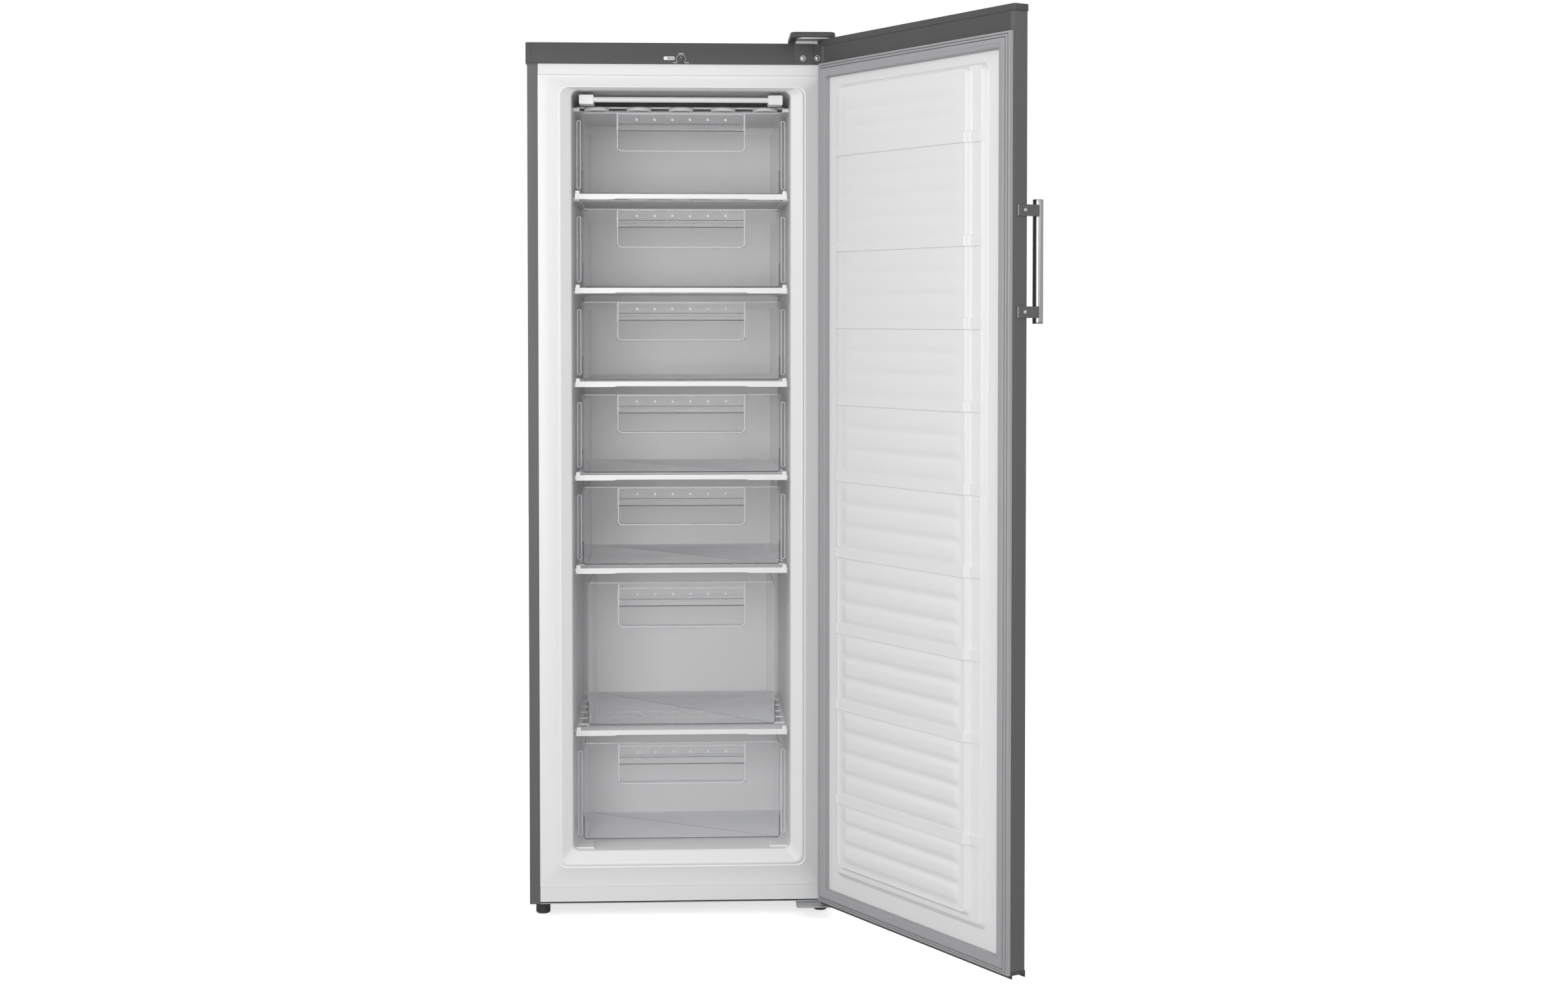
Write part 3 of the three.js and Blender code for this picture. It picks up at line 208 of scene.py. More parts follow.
class Shape:
    """Closed skins gathered into one mesh, in millimetres."""

    def __init__(self):
        self.points = []
        self.faces = []

    def skin(self, rings, loop=False):
        """Stretches a skin over rings of equal length, with flat ends or joined end to end."""
        count = len(rings[0])
        start = len(self.points)
        for ring in rings:
            self.points.extend(ring)
        spans = len(rings) if loop else len(rings) - 1
        for r in range(spans):
            a = start + r * count
            b = start + (r + 1) % len(rings) * count
            for i in range(count):
                j = (i + 1) % count
                self.faces.append((a + i, a + j, b + j, b + i))
        if not loop:
            last = start + spans * count
            self.faces.append(tuple(range(start + count - 1, start - 1, -1)))
            self.faces.append(tuple(range(last, last + count)))
        return self

    def prism(self, outline, axis, low, high):
        """Draws an outline along an axis: (y, z) along x, (x, z) along y, (x, y) along z."""
        turn = {
            "x": lambda a, b, c: (c, a, b),
            "y": lambda a, b, c: (a, c, b),
            "z": lambda a, b, c: (a, b, c),
        }[axis]
        return self.skin([[turn(a, b, c) for a, b in outline] for c in (low, high)])

    def block(self, x0, x1, y0, y1, z0, z1):
        return self.prism([(x0, y0), (x1, y0), (x1, y1), (x0, y1)], "z", z0, z1)

    def lathe(self, profile, axis="z", at=(0, 0, 0), sides=32, loop=False):
        """Turns (radius, along) points about an axis; a looped profile closes on itself."""
        turn = {
            "x": lambda a, b, c: (c, a, b),
            "y": lambda a, b, c: (b, c, a),
            "z": lambda a, b, c: (a, b, c),
        }[axis]
        rings = []
        for radius, along in profile:
            ring = []
            for i in range(sides):
                angle = 2 * math.pi * i / sides
                p = turn(radius * math.cos(angle), radius * math.sin(angle), along)
                ring.append(tuple(p[k] + at[k] for k in range(3)))
            rings.append(ring)
        return self.skin(rings, loop)

    def add_mesh(self, mesh):
        """Takes in a plain mesh and drops it."""
        start = len(self.points)
        self.points.extend(tuple(v.co) for v in mesh.vertices)
        self.faces.extend(tuple(start + i for i in p.vertices) for p in mesh.polygons)
        bpy.data.meshes.remove(mesh)
        return self

    def mesh(self, name):
        mesh = bpy.data.meshes.new(name)
        mesh.from_pydata(self.points, [], self.faces)
        return mesh


def rounded_rectangle(x0, x1, y0, y1, radius, steps=6):
    """Points round a rectangle with round corners, each cut into a number of steps."""
    centres = (
        (x0 + radius, y0 + radius, 180),
        (x1 - radius, y0 + radius, 270),
        (x1 - radius, y1 - radius, 0),
        (x0 + radius, y1 - radius, 90),
    )
    points = []
    for x, y, start in centres:
        for i in range(steps + 1):
            angle = math.radians(start + 90 * i / steps)
            points.append((x + radius * math.cos(angle), y + radius * math.sin(angle)))
    return points


def smooth(t):
    """Rises softly from 0 to 1."""
    t = min(max(t, 0.0), 1.0)
    return t * t * (3 - 2 * t)


def through(table, t):
    """Reads a value from a table of (place, value) pairs, straight between them."""
    if t <= table[0][0]:
        return table[0][1]
    for (a, va), (b, vb) in zip(table, table[1:]):
        if t <= b:
            return va + (vb - va) * (t - a) / (b - a)
    return table[-1][1]


def spread(stops):
    """Places from (end, step) pairs: each stretch is cut into steps of about that size."""
    places = [stops[0][0]]
    for (a, _), (b, step) in zip(stops, stops[1:]):
        count = max(1, round(abs(b - a) / step))
        places.extend(a + (b - a) * (i + 1) / count for i in range(count))
    return places


# ---- Scene and nodes ----------------------------------------------------------------


def put_in_scene(name, data):
    obj = bpy.data.objects.new(name, data)
    bpy.context.scene.collection.objects.link(obj)
    return obj


def new_material(name):
    """A material without nodes, and its empty tree."""
    material = bpy.data.materials.new(name)
    material.use_nodes = True
    material.node_tree.nodes.clear()
    return material, material.node_tree


def add_node(tree, kind, links=None, **settings):
    """Adds a node; `links` gives its inputs a value or another node's output."""
    node = tree.nodes.new(kind)
    for name, value in settings.items():
        setattr(node, name, value)
    for key, value in (links or {}).items():
        if isinstance(value, bpy.types.NodeSocket):
            tree.links.new(value, node.inputs[key])
        else:
            node.inputs[key].default_value = value
    return node


def new_growth(name, inputs):
    """An empty geometry tree with named inputs, and the outputs of its input node."""
    tree = bpy.data.node_groups.new(name, "GeometryNodeTree")
    face = tree.interface
    face.new_socket("Geometry", in_out="INPUT", socket_type="NodeSocketGeometry")
    for label, kind in inputs.items():
        face.new_socket(label, in_out="INPUT", socket_type="NodeSocket" + kind)
    face.new_socket("Geometry", in_out="OUTPUT", socket_type="NodeSocketGeometry")
    return tree, add_node(tree, "NodeGroupInput").outputs


def end_growth(tree, geometry, material):
    """Ends a tree with real geometry in its material."""
    real = add_node(tree, "GeometryNodeRealizeInstances", {"Geometry": geometry})
    dressed = add_node(
        tree, "GeometryNodeSetMaterial", {"Geometry": real.outputs[0], "Material": material}
    )
    add_node(tree, "NodeGroupOutput", {"Geometry": dressed.outputs[0]})
    return tree


def bent_tube_growth():
    """A tube along a line of points, bent round its corners."""
    tree, given = new_growth(
        "Bent tube",
        {
            "Radius": "Float",
            "Bend radius": "Float",
            "Bend steps": "Int",
            "Sides": "Int",
            "Material": "Material",
        },
    )
    line = add_node(tree, "GeometryNodeMeshToCurve", {"Mesh": given["Geometry"]})
    bent = add_node(
        tree,
        "GeometryNodeFilletCurve",
        {
            "Curve": line.outputs[0],
            "Radius": given["Bend radius"],
            "Count": given["Bend steps"],
            "Limit Radius": True,
        },
        mode="POLY",
    )
    section = add_node(
        tree,
        "GeometryNodeCurvePrimitiveCircle",
        {"Resolution": given["Sides"], "Radius": given["Radius"]},
    )
    skin = add_node(
        tree,
        "GeometryNodeCurveToMesh",
        {"Curve": bent.outputs[0], "Profile Curve": section.outputs[0], "Fill Caps": True},
    )
    return end_growth(tree, skin.outputs[0], given["Material"])


def row_growth():
    """Copies of one piece in a straight row."""
    tree, given = new_growth(
        "Row", {"Count": "Int", "Offset": "Vector", "Material": "Material"}
    )
    line = add_node(
        tree, "GeometryNodeMeshLine", {"Count": given["Count"], "Offset": given["Offset"]}
    )
    copies = add_node(
        tree,
        "GeometryNodeInstanceOnPoints",
        {"Points": line.outputs[0], "Instance": given["Geometry"]},
    )
    return end_growth(tree, copies.outputs[0], given["Material"])


def ring_growth():
    """Copies of one piece, drawn at +x, turned round the z axis."""
    tree, given = new_growth("Ring", {"Count": "Int", "Material": "Material"})
    points = add_node(
        tree, "GeometryNodeMeshCircle", {"Vertices": given["Count"], "Radius": 0.0001}
    )
    place = add_node(tree, "GeometryNodeInputIndex")
    part = add_node(
        tree, "ShaderNodeMath", {0: place.outputs[0], 1: given["Count"]}, operation="DIVIDE"
    )
    turn = add_node(
        tree, "ShaderNodeMath", {0: part.outputs[0], 1: math.tau}, operation="MULTIPLY"
    )
    euler = add_node(tree, "ShaderNodeCombineXYZ", {"Z": turn.outputs[0]})
    rotation = add_node(tree, "FunctionNodeEulerToRotation", {0: euler.outputs[0]})
    copies = add_node(
        tree,
        "GeometryNodeInstanceOnPoints",
        {
            "Points": points.outputs[0],
            "Instance": given["Geometry"],
            "Rotation": rotation.outputs[0],
        },
    )
    return end_growth(tree, copies.outputs[0], given["Material"])


def growth(name):
    """The named geometry tree, built the first time it is asked for."""
    made = bpy.data.node_groups.get(name)
    if made:
        return made
    return {"Bent tube": bent_tube_growth, "Row": row_growth, "Ring": ring_growth}[name]()


def grow(mesh, name, **values):
    """Runs a geometry tree over a mesh and gives back the plain mesh that comes out."""
    tree = growth(name)
    seed = put_in_scene("seed", mesh)
    modifier = seed.modifiers.new("Growth", "NODES")
    modifier.node_group = tree
    wanted = {key.replace("_", " "): value for key, value in values.items()}
    for item in tree.interface.items_tree:
        if item.in_out == "INPUT" and item.name in wanted:
            modifier[item.identifier] = wanted[item.name]
    evaluated = seed.evaluated_get(bpy.context.evaluated_depsgraph_get())
    grown = bpy.data.meshes.new_from_object(evaluated)
    bpy.data.objects.remove(seed)
    bpy.data.meshes.remove(mesh)
    return grown


def bent_tube(corners, diameter, bend, material, sides=16):
    """The mesh of a tube through corner points."""
    mesh = bpy.data.meshes.new("line")
    mesh.from_pydata(corners, [(i, i + 1) for i in range(len(corners) - 1)], [])
    return grow(
        mesh,
        "Bent tube",
        Radius=diameter / 2,
        Bend_radius=bend,
        Bend_steps=8,
        Sides=sides,
        Material=material,
    )


# ---- Finishes -----------------------------------------------------------------------


def finish(
    name,
    base,
    roughness,
    metallic=0.0,
    grain=1.0,
    depth=0.0,
    stretch=(1, 1, 1),
    shade=0.0,
    patch=60.0,
    wear=0.0,
    shader=None,
):
    """A finish in object coordinates. `grain` and `patch` are sizes in millimetres of the fine
    relief and of the broad change of shade; `depth` is the relief's height in millimetres;
    `shade` and `wear` are the shares by which the colour and the roughness vary."""
    material, tree = new_material(name)
    place = add_node(tree, "ShaderNodeTexCoord")
    drawn = add_node(
        tree, "ShaderNodeMapping", {"Vector": place.outputs["Object"], "Scale": stretch}
    )
    fine = add_node(
        tree,
        "ShaderNodeTexNoise",
        {"Vector": drawn.outputs[0], "Scale": 1 / (grain * MM), "Detail": 3.0},
    )
    broad = add_node(
        tree,
        "ShaderNodeTexNoise",
        {"Vector": drawn.outputs[0], "Scale": 1 / (patch * MM), "Detail": 2.0},
    )
    dark = tuple(c * (1 - shade) for c in base[:3]) + (1.0,)
    light = tuple(min(c * (1 + shade), 1) for c in base[:3]) + (1.0,)
    tint = add_node(
        tree,
        "ShaderNodeMix",
        {0: broad.outputs[0], 6: dark, 7: light},
        data_type="RGBA",
    )
    polish = add_node(
        tree,
        "ShaderNodeMapRange",
        {
            "Value": fine.outputs[0],
            "To Min": roughness * (1 - wear),
            "To Max": min(roughness * (1 + wear), 1),
        },
    )
    relief = add_node(
        tree,
        "ShaderNodeBump",
        {"Height": fine.outputs[0], "Distance": depth * MM, "Strength": 1.0},
    )
    body = add_node(
        tree,
        "ShaderNodeBsdfPrincipled",
        {
            "Base Color": tint.outputs[2],
            "Roughness": polish.outputs[0],
            "Metallic": metallic,
            "Normal": relief.outputs[0],
            **(shader or {}),
        },
    )
    add_node(tree, "ShaderNodeOutputMaterial", {"Surface": body.outputs[0]})
    material.diffuse_color = base
    return material


def satin_paint(colours):
    # Satin polyester paint on rolled sheet: a grey sheen with faint upright streaks.
    # The streaks are drawn 9 mm wide, because real rolling lines are too fine to show.
    return finish(
        "satin_polyester_paint", colours.paint, 0.42, grain=9, depth=0.012,
        stretch=(1, 1, 0.02), shade=0.05, patch=22, wear=0.12,
        shader={"Specular IOR Level": 0.4},
    )


def moulded_trim(colours):
    # Injection-moulded ABS, spark-eroded: an even, slightly pebbled matt grey.
    # The pebbling is drawn at 2.5 mm, coarser than the real 0.3 mm, so that it shows.
    return finish(
        "grained_abs", colours.trim, 0.5, grain=2.5, depth=0.02, shade=0.03, patch=120,
        wear=0.1, shader={"Specular IOR Level": 0.4},
    )


def formed_liner(colours):
    # Vacuum-formed polystyrene sheet: semi-gloss white, with the soft waviness of drawn sheet.
    return finish(
        "vacuum_formed_polystyrene", colours.liner, 0.3, grain=45, depth=0.12, shade=0.01,
        patch=160, wear=0.12, shader={"IOR": 1.55},
    )


def white_enamel_paint(colours):
    # Baked white paint on a folded beam: flat and a little glossier than the liner.
    return finish(
        "baked_white_paint", colours.white_paint, 0.34, grain=3, depth=0.01, shade=0.01,
        patch=140, wear=0.1,
    )


def coated_tube(colours):
    # Powder-coated steel tube: white, with a slight orange peel of 3 mm.
    return finish(
        "powder_coated_tube", colours.coated, 0.32, grain=3, depth=0.03, shade=0.02,
        patch=40, wear=0.1,
    )


def sealing_rubber(colours):
    # Extruded soft PVC: dull grey, faintly lined along its length by the die.
    return finish(
        "extruded_soft_pvc", colours.seal, 0.62, grain=2.5, depth=0.03, shade=0.04,
        patch=50, wear=0.08, shader={"Specular IOR Level": 0.3},
    )


def brushed_bar(colours):
    # Brushed stainless tube: long lines along the bar pull its highlight into a streak.
    return finish(
        "brushed_stainless", colours.bar, 0.27, metallic=1, grain=1.6, depth=0.006,
        stretch=(1, 1, 0.02), shade=0.03, patch=6, wear=0.2,
    )


def zinc_plate(colours):
    # Zinc-plated sheet: pale grey metal with broad soft spangle, 14 mm across.
    return finish(
        "zinc_plated_sheet", colours.zinc, 0.42, metallic=0.85, grain=14, depth=0.01,
        shade=0.06, patch=30, wear=0.2,
    )


def black_enamel(colours):
    # Stoved black enamel: deep black with a soft gloss and a light orange peel.
    return finish(
        "stoved_black_enamel", colours.enamel, 0.32, grain=4, depth=0.03, shade=0.1,
        patch=50, wear=0.15,
    )


def black_moulding(colours):
    # Moulded polyamide: dull black, finely pebbled.
    return finish(
        "moulded_polyamide", colours.black, 0.55, grain=2, depth=0.03, shade=0.06,
        patch=30, wear=0.1,
    )


def foot_moulding(colours):
    # Moulded polyethylene foot: dark grey, scuffed lighter where it is turned by hand.
    return finish(
        "moulded_polyethylene", colours.foot, 0.5, grain=1.5, depth=0.03, shade=0.12,
        patch=8, wear=0.15,
    )


def drawn_copper(colours):
    # Drawn copper tube: warm metal, unevenly tarnished.
    return finish(
        "drawn_copper", colours.copper, 0.32, metallic=1, grain=5, depth=0.01,
        shade=0.12, patch=18, wear=0.25,
    )


def rigid_foam(colours):
    # Rigid polyurethane foam: matt and pale yellow, with an open skin of 4 mm cells.
    return finish(
        "rigid_polyurethane", colours.foam, 0.9, grain=4, depth=0.3, shade=0.08, patch=40,
    )


def pale_print(colours):
    # Screen-printed marks: matt light grey ink, a little uneven at 1 mm.
    return finish(
        "screen_printed_ink", colours.mark, 0.5, grain=1, depth=0.005, shade=0.02,
        patch=4,
    )


def bright_zinc(colours):
    # Bright zinc-plated screw: a hard shine with fine turning marks.
    return finish(
        "bright_zinc_screw", colours.zinc, 0.24, metallic=1, grain=0.8, depth=0.01,
        shade=0.05, patch=3, wear=0.3,
    )


def clear_polystyrene(name, shade, face_on, edge_on):
    """Clear plastic that covers what is behind it by these shares, seen face on and edge on."""
    flow_width, flow_height = 28 * MM, 0.5 * MM
    flow_stretch = (1, 1, 0.35)
    shade_kept = 0.15
    material, tree = new_material(name)
    place = add_node(tree, "ShaderNodeTexCoord")
    flow = add_node(
        tree, "ShaderNodeMapping", {"Vector": place.outputs["Object"], "Scale": flow_stretch}
    )
    waves = add_node(
        tree,
        "ShaderNodeTexNoise",
        {"Vector": flow.outputs[0], "Scale": 1 / flow_width, "Detail": 2.0},
    )
    relief = add_node(
        tree,
        "ShaderNodeBump",
        {"Height": waves.outputs[0], "Distance": flow_height, "Strength": 0.6},
    )
    slant = add_node(tree, "ShaderNodeLayerWeight", {"Blend": 0.5})
    cover = add_node(
        tree,
        "ShaderNodeMapRange",
        {"Value": slant.outputs["Facing"], "From Min": 0.3, "From Max": 0.97,
         "To Min": face_on, "To Max": edge_on},
    )
    # Shadows and bounced light mostly pass: for them the plastic keeps a small share.
    ray = add_node(tree, "ShaderNodeLightPath")
    soft = add_node(
        tree,
        "ShaderNodeMath",
        {0: ray.outputs["Is Shadow Ray"], 1: ray.outputs["Is Diffuse Ray"]},
        operation="MAXIMUM",
    )
    passed = add_node(
        tree, "ShaderNodeMapRange",
        {"Value": soft.outputs[0], "To Min": 1.0, "To Max": shade_kept},
    )
    shown = add_node(
        tree, "ShaderNodeMath", {0: cover.outputs[0], 1: passed.outputs[0]},
        operation="MULTIPLY",
    )
    haze = add_node(
        tree,
        "ShaderNodeMapRange",
        {"Value": waves.outputs[0], "To Min": 0.05, "To Max": 0.1},
    )
    body = add_node(
        tree,
        "ShaderNodeBsdfPrincipled",
        {
            "Base Color": tuple(shade),
            "Roughness": haze.outputs[0],
            "Alpha": shown.outputs[0],
            "IOR": 1.55,
            "Normal": relief.outputs[0],
        },
    )
    add_node(tree, "ShaderNodeOutputMaterial", {"Surface": body.outputs[0]})
    material.diffuse_color = tuple(shade)
    return material


def clear_moulding(colours):
    # Clear moulded polystyrene wall: seen through face on, bright where a wall turns away,
    # with faint flow lines that wave the highlights.
    return clear_polystyrene("clear_moulded_polystyrene", colours.clear, 0.05, 0.75)


def clear_painted_highlight(colours):
    # The same plastic where it is moulded thick, made nearly opaque as a lit copy: painted
    # highlight that shows beads, rings and ribs as bright lines.
    return clear_polystyrene("clear_polystyrene_highlight", colours.clear, 0.5, 0.95)


def painted_edge_shade(colours):
    # A dark copy of the same plastic, as painted shade along a turned or cut edge, which bends the
    # light away and looks dark.
    return clear_polystyrene("clear_polystyrene_edge_shade", colours.painted_edge_shade, 0.75, 0.9)


FINISHES = {
    "dark_painted_steel": satin_paint,
    "dark_plastic": moulded_trim,
    "white_plastic": formed_liner,
    "white_painted_steel": white_enamel_paint,
    "white_coated_steel": coated_tube,
    "clear_plastic": clear_moulding,
    # bead is a lit copy of the clear plastic (painted highlight), edge a dark copy (painted
    # shade).
    "bead": clear_painted_highlight,
    "edge": painted_edge_shade,
    "gasket_rubber": sealing_rubber,
    "satin_metal": brushed_bar,
    "zinc_plated_steel": zinc_plate,
    "black_enamel": black_enamel,
    "black_plastic": black_moulding,
    "dark_rubber": foot_moulding,
    "copper": drawn_copper,
    "insulation_foam": rigid_foam,
    "print": pale_print,
    "screw": bright_zinc,
}
made_finishes = {}


def dressed(kind):
    """The material of a finish, made the first time it is asked for."""
    if kind not in made_finishes:
        made_finishes[kind] = FINISHES[kind](bpy.context.scene.freezer_colours)
    return made_finishes[kind]


# ---- Pieces -------------------------------------------------------------------------


def settle(obj, body, slot, replaces=(), bevel=0.0, kind=None):
    """Gives a piece its finish, its rounded edges and the body that it rides on."""
    obj.data.materials.clear()
    obj.data.materials.append(dressed(kind or slot))
    if bevel:
        rounding = obj.modifiers.new("Rounded edges", "BEVEL")
        rounding.width = bevel * MM
        rounding.segments = 3
        rounding.limit_method = "ANGLE"
        rounding.angle_limit = math.radians(40)
        rounding.harden_normals = True
    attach(obj, body)
    if replaces:
        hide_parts(*replaces)
    return obj


SHARP = 32  # degrees; an edge bent further than this is drawn as an edge


def shade_up_to(mesh, sharp):
    """Shades a mesh smooth, but for its edges sharper than an angle in degrees."""
    mesh.shade_smooth()
    mesh.set_sharp_from_angle(angle=math.radians(sharp))


def build(
    name, shape, body, slot, place=CABINET, replaces=(), bevel=0.0, sharp=SHARP, kind=None
):
    """Makes a piece of a shape: merged, faces outwards, shaded smooth up to an angle."""
    mesh = shape.mesh(name)
    work = bmesh.new()
    work.from_mesh(mesh)
    bmesh.ops.remove_doubles(work, verts=work.verts, dist=0.001)
    bmesh.ops.recalc_face_normals(work, faces=work.faces)
    work.to_mesh(mesh)
    work.free()
    mesh.transform(place)
    shade_up_to(mesh, sharp)
    return settle(put_in_scene(name, mesh), body, slot, replaces, bevel, kind)


def soften(node, body, slot, bevel):
    """Makes a piece of a CAD node's own shape, with its edges rounded."""
    mesh = frame["nodes"][node].data.copy()
    work = bmesh.new()
    work.from_mesh(mesh)
    bmesh.ops.remove_doubles(work, verts=work.verts, dist=1e-6)
    bmesh.ops.dissolve_limit(
        work, angle_limit=math.radians(0.5), verts=work.verts, edges=work.edges
    )
    work.to_mesh(mesh)
    work.free()
    shade_up_to(mesh, SHARP)
    return settle(put_in_scene(node + "_piece", mesh), body, slot, (node,), bevel)


def finish_node(node, slot):
    """Dresses a CAD node that is shown as it is."""
    mesh = frame["nodes"][node].data
    mesh.materials.clear()
    mesh.materials.append(dressed(slot))


def screw_head(shape, at, axis, out, diameter):
    """A domed head with a recess; `out` is +1 or -1 along the axis."""
    r = diameter / 2
    profile = [
        (r, -0.4), (r, 0.6), (r * 0.86, 1.5), (r * 0.6, 2.1), (r * 0.36, 2.25),
        (r * 0.3, 1.9), (r * 0.12, 1.0),
    ]
    return shape.lathe([(a, b * out) for a, b in profile], axis, at, 24)


# ---- Cabinet ------------------------------------------------------------------------


class FREEZER_OT_shell(bpy.types.Operator):
    """Build the painted shell, its front beams, back panel, base plate and foam"""

    bl_idname = "freezer.shell"
    bl_label = "Cabinet shell"

    def execute(self, context):
        size = sizes(context)
        soften("outer_shell", "cabinet", "dark_painted_steel", size.panel_bevel)
        for node in ("upper_crossbar", "lower_crossbar"):
            soften(node, "cabinet", "white_painted_steel", size.mould_bevel)
        soften("back_panel", "cabinet", "zinc_plated_steel", 0.4)
        soften("base_plate", "cabinet", "zinc_plated_steel", 0)
        finish_node("cabinet_foam", "insulation_foam")
        finish_node("door_foam", "insulation_foam")
        return {"FINISHED"}


COVER_SET_BACK = 3.0  # millimetres from the cover's front to its end over the hinge


class FREEZER_OT_cover(bpy.types.Operator):
    """Build the top cover with its seams, dial, marks, indicator and screws"""

    bl_idname = "freezer.cover"
    bl_label = "Top cover and dial"

    def execute(self, context):
        size = sizes(context)
        box = cad("top_cover")
        self.cover(box)
        finish_node("thermostat_body", "white_plastic")
        dial = cad("thermostat_dial")
        x, z = dial.x, dial.z
        self.dial(dial, x, z)
        self.marks(box, x, z)
        self.window(box)
        seat = [(5.6, 0.3), (5.6, -0.25), (5.0, -0.5), (3.5, -0.5), (3.5, 0.3)]
        heads, seats = Shape(), Shape()
        for at in ((236.7, box.y0, 1675.0), (264.8, box.y0 + COVER_SET_BACK, 1675.8)):
            screw_head(heads, at, "y", -1, size.screw)
            seats.lathe(seat, "y", at, 32)
        build("cover_screws", heads, "cabinet", "zinc_plated_steel", kind="screw")
        build("cover_screw_seats", seats, "cabinet", "dark_plastic", kind="print")
        return {"FINISHED"}

    def cover(self, box):
        """A hollow tray whose front shows two seams and a set-back end at the hinge."""
        x0, x1, y = box.x0, box.x1, box.y0
        back = box.y1 + 0.5  # just behind the back panel, so that the two don't share a plane
        seam_half, seam_depth = 0.35, 0.25
        corner, end_width, edge = 6, 43, 1.2
        wall, front_wall, back_wall, roof = 2.7, 3.2, 0.4, 2.5
        outline = [
            (x0 + corner - corner * math.cos(a), y + corner - corner * math.sin(a))
            for a in (math.radians(15 * i) for i in range(7))
        ]
        for seam in (x0 + 12, 220.0):
            outline += [(seam - seam_half, y), (seam, y + seam_depth), (seam + seam_half, y)]
        end = y + COVER_SET_BACK
        outline += [(x1 - end_width, y), (x1 - end_width, end), (x1 - 3, end), (x1, end + 3),
                    (x1, back), (x0, back)]

        def ring(inset, z):
            return [
                (min(max(px, x0 + inset), x1 - inset), max(py, y + inset) if inset else py, z)
                for px, py in outline
            ]

        def hollow(z):
            return [
                (min(max(px, x0 + wall), x1 - wall),
                 min(max(py, y + front_wall), back - back_wall), z)
                for px, py in outline
            ]

        shape = Shape().skin(
            [
                hollow(box.z1 - roof),
                hollow(box.z0),
                ring(0, box.z0),
                ring(0, box.z1 - edge),
                ring(edge * 0.3, box.z1 - edge * 0.3),
                ring(edge, box.z1),
            ]
        )
        build("top_cover_piece", shape, "cabinet", "dark_plastic", replaces=("top_cover",))

    def dial(self, box, x, z):
        """A knob with a notched edge and a raised pointer."""
        r = (box.x1 - box.x0) / 2 - 1.3
        front, back = box.y0, box.y0 + 3
        rings = []
        count = 72
        for y, radius, notch in (
            (box.y1, 3, 0), (back, 3, 0), (back, r, 1), (front + 0.8, r, 1),
            (front + 0.15, r - 0.7, 0.4), (front + 0.15, r - 2.2, 0), (front + 0.9, r - 2.8, 0),
        ):
            ring = []
            for i in range(count):
                angle = math.tau * i / count
                bump = radius - notch * 0.35 * (i % 2)
                ring.append((x + bump * math.cos(angle), y, z + bump * math.sin(angle)))
            rings.append(ring)
        shape = Shape().skin(rings)
        ridge = rounded_rectangle(x - 1.6, x + 1.6, z - r + 2.6, z + r - 2.6, 1.5, 4)
        shape.prism(ridge, "y", front - 0.1, back - 1)
        build("thermostat_dial_piece", shape, "dial", "dark_plastic",
              replaces=("thermostat_dial",))
        pointer = rounded_rectangle(x - 0.5, x + 0.5, z + r - 6.2, z + r - 3, 0.45, 3)
        build("dial_pointer", Shape().prism(pointer, "y", front - 0.25, front + 0.5), "dial",
              "dark_plastic", kind="print")

    def marks(self, box, x, z):
        """A broken ring round the dial with plain ticks at its ends and top."""
        proud, sunk = box.y0 - 0.12, box.y0 + 0.1
        inner, outer = 8.5, 9.3
        start, sweep, steps = -50, 280, 60
        rings = []
        for i in range(steps + 1):
            angle = math.radians(start + sweep * i / steps)
            c, s = math.cos(angle), math.sin(angle)
            rings.append(
                [(x + radius * c, depth, z + radius * s)
                 for radius, depth in ((inner, sunk), (outer, sunk), (outer, proud),
                                       (inner, proud))]
            )
        shape = Shape().skin(rings)
        for dx, dz, w, h in ((-11.6, -6.8, 6, 1.3), (11.6, -6.8, 7, 1.3), (0.6, 10.9, 11, 1.2)):
            shape.block(x + dx - w / 2, x + dx + w / 2, proud, sunk,
                        z + dz - h / 2, z + dz + h / 2)
        build("dial_marks", shape, "cabinet", "dark_plastic", kind="print")

    def window(self, box):
        """A pale lens with a rimmed field of three small lamps at its right end."""
        lens = cad("indicator_window")
        y, thick = box.y0 - 0.6, 1.6
        outline = rounded_rectangle(lens.x0, lens.x1, lens.z0, lens.z1, 2.0, 5)
        build("indicator_lens", Shape().prism(outline, "y", y, y + thick), "cabinet",
              "white_plastic", bevel=0.3, replaces=("indicator_window",))

        def field(inset, radius):
            return rounded_rectangle(lens.x1 - 14.5 + inset, lens.x1 - 1.2 - inset,
                                     lens.z0 + 1 + inset, lens.z1 - 1 - inset, radius, 5)

        outer, inner = field(0, 2.0), field(0.5, 1.6)
        lamps = Shape().skin(
            [[(a, depth, b) for a, b in ring]
             for ring, depth in ((outer, y - 0.15), (inner, y - 0.15), (inner, y + 0.2),
                                 (outer, y + 0.2))],
            loop=True,
        )
        z = lens.z
        first, pitch = lens.x1 - 11.5, 3.7
        for k in range(3):
            lamps.lathe([(1.25, 0.3), (1.25, -0.3), (0.6, -0.5)], "y",
                        (first + pitch * k, y, z), 16)
        build("indicator_lamps", lamps, "cabinet", "dark_plastic")


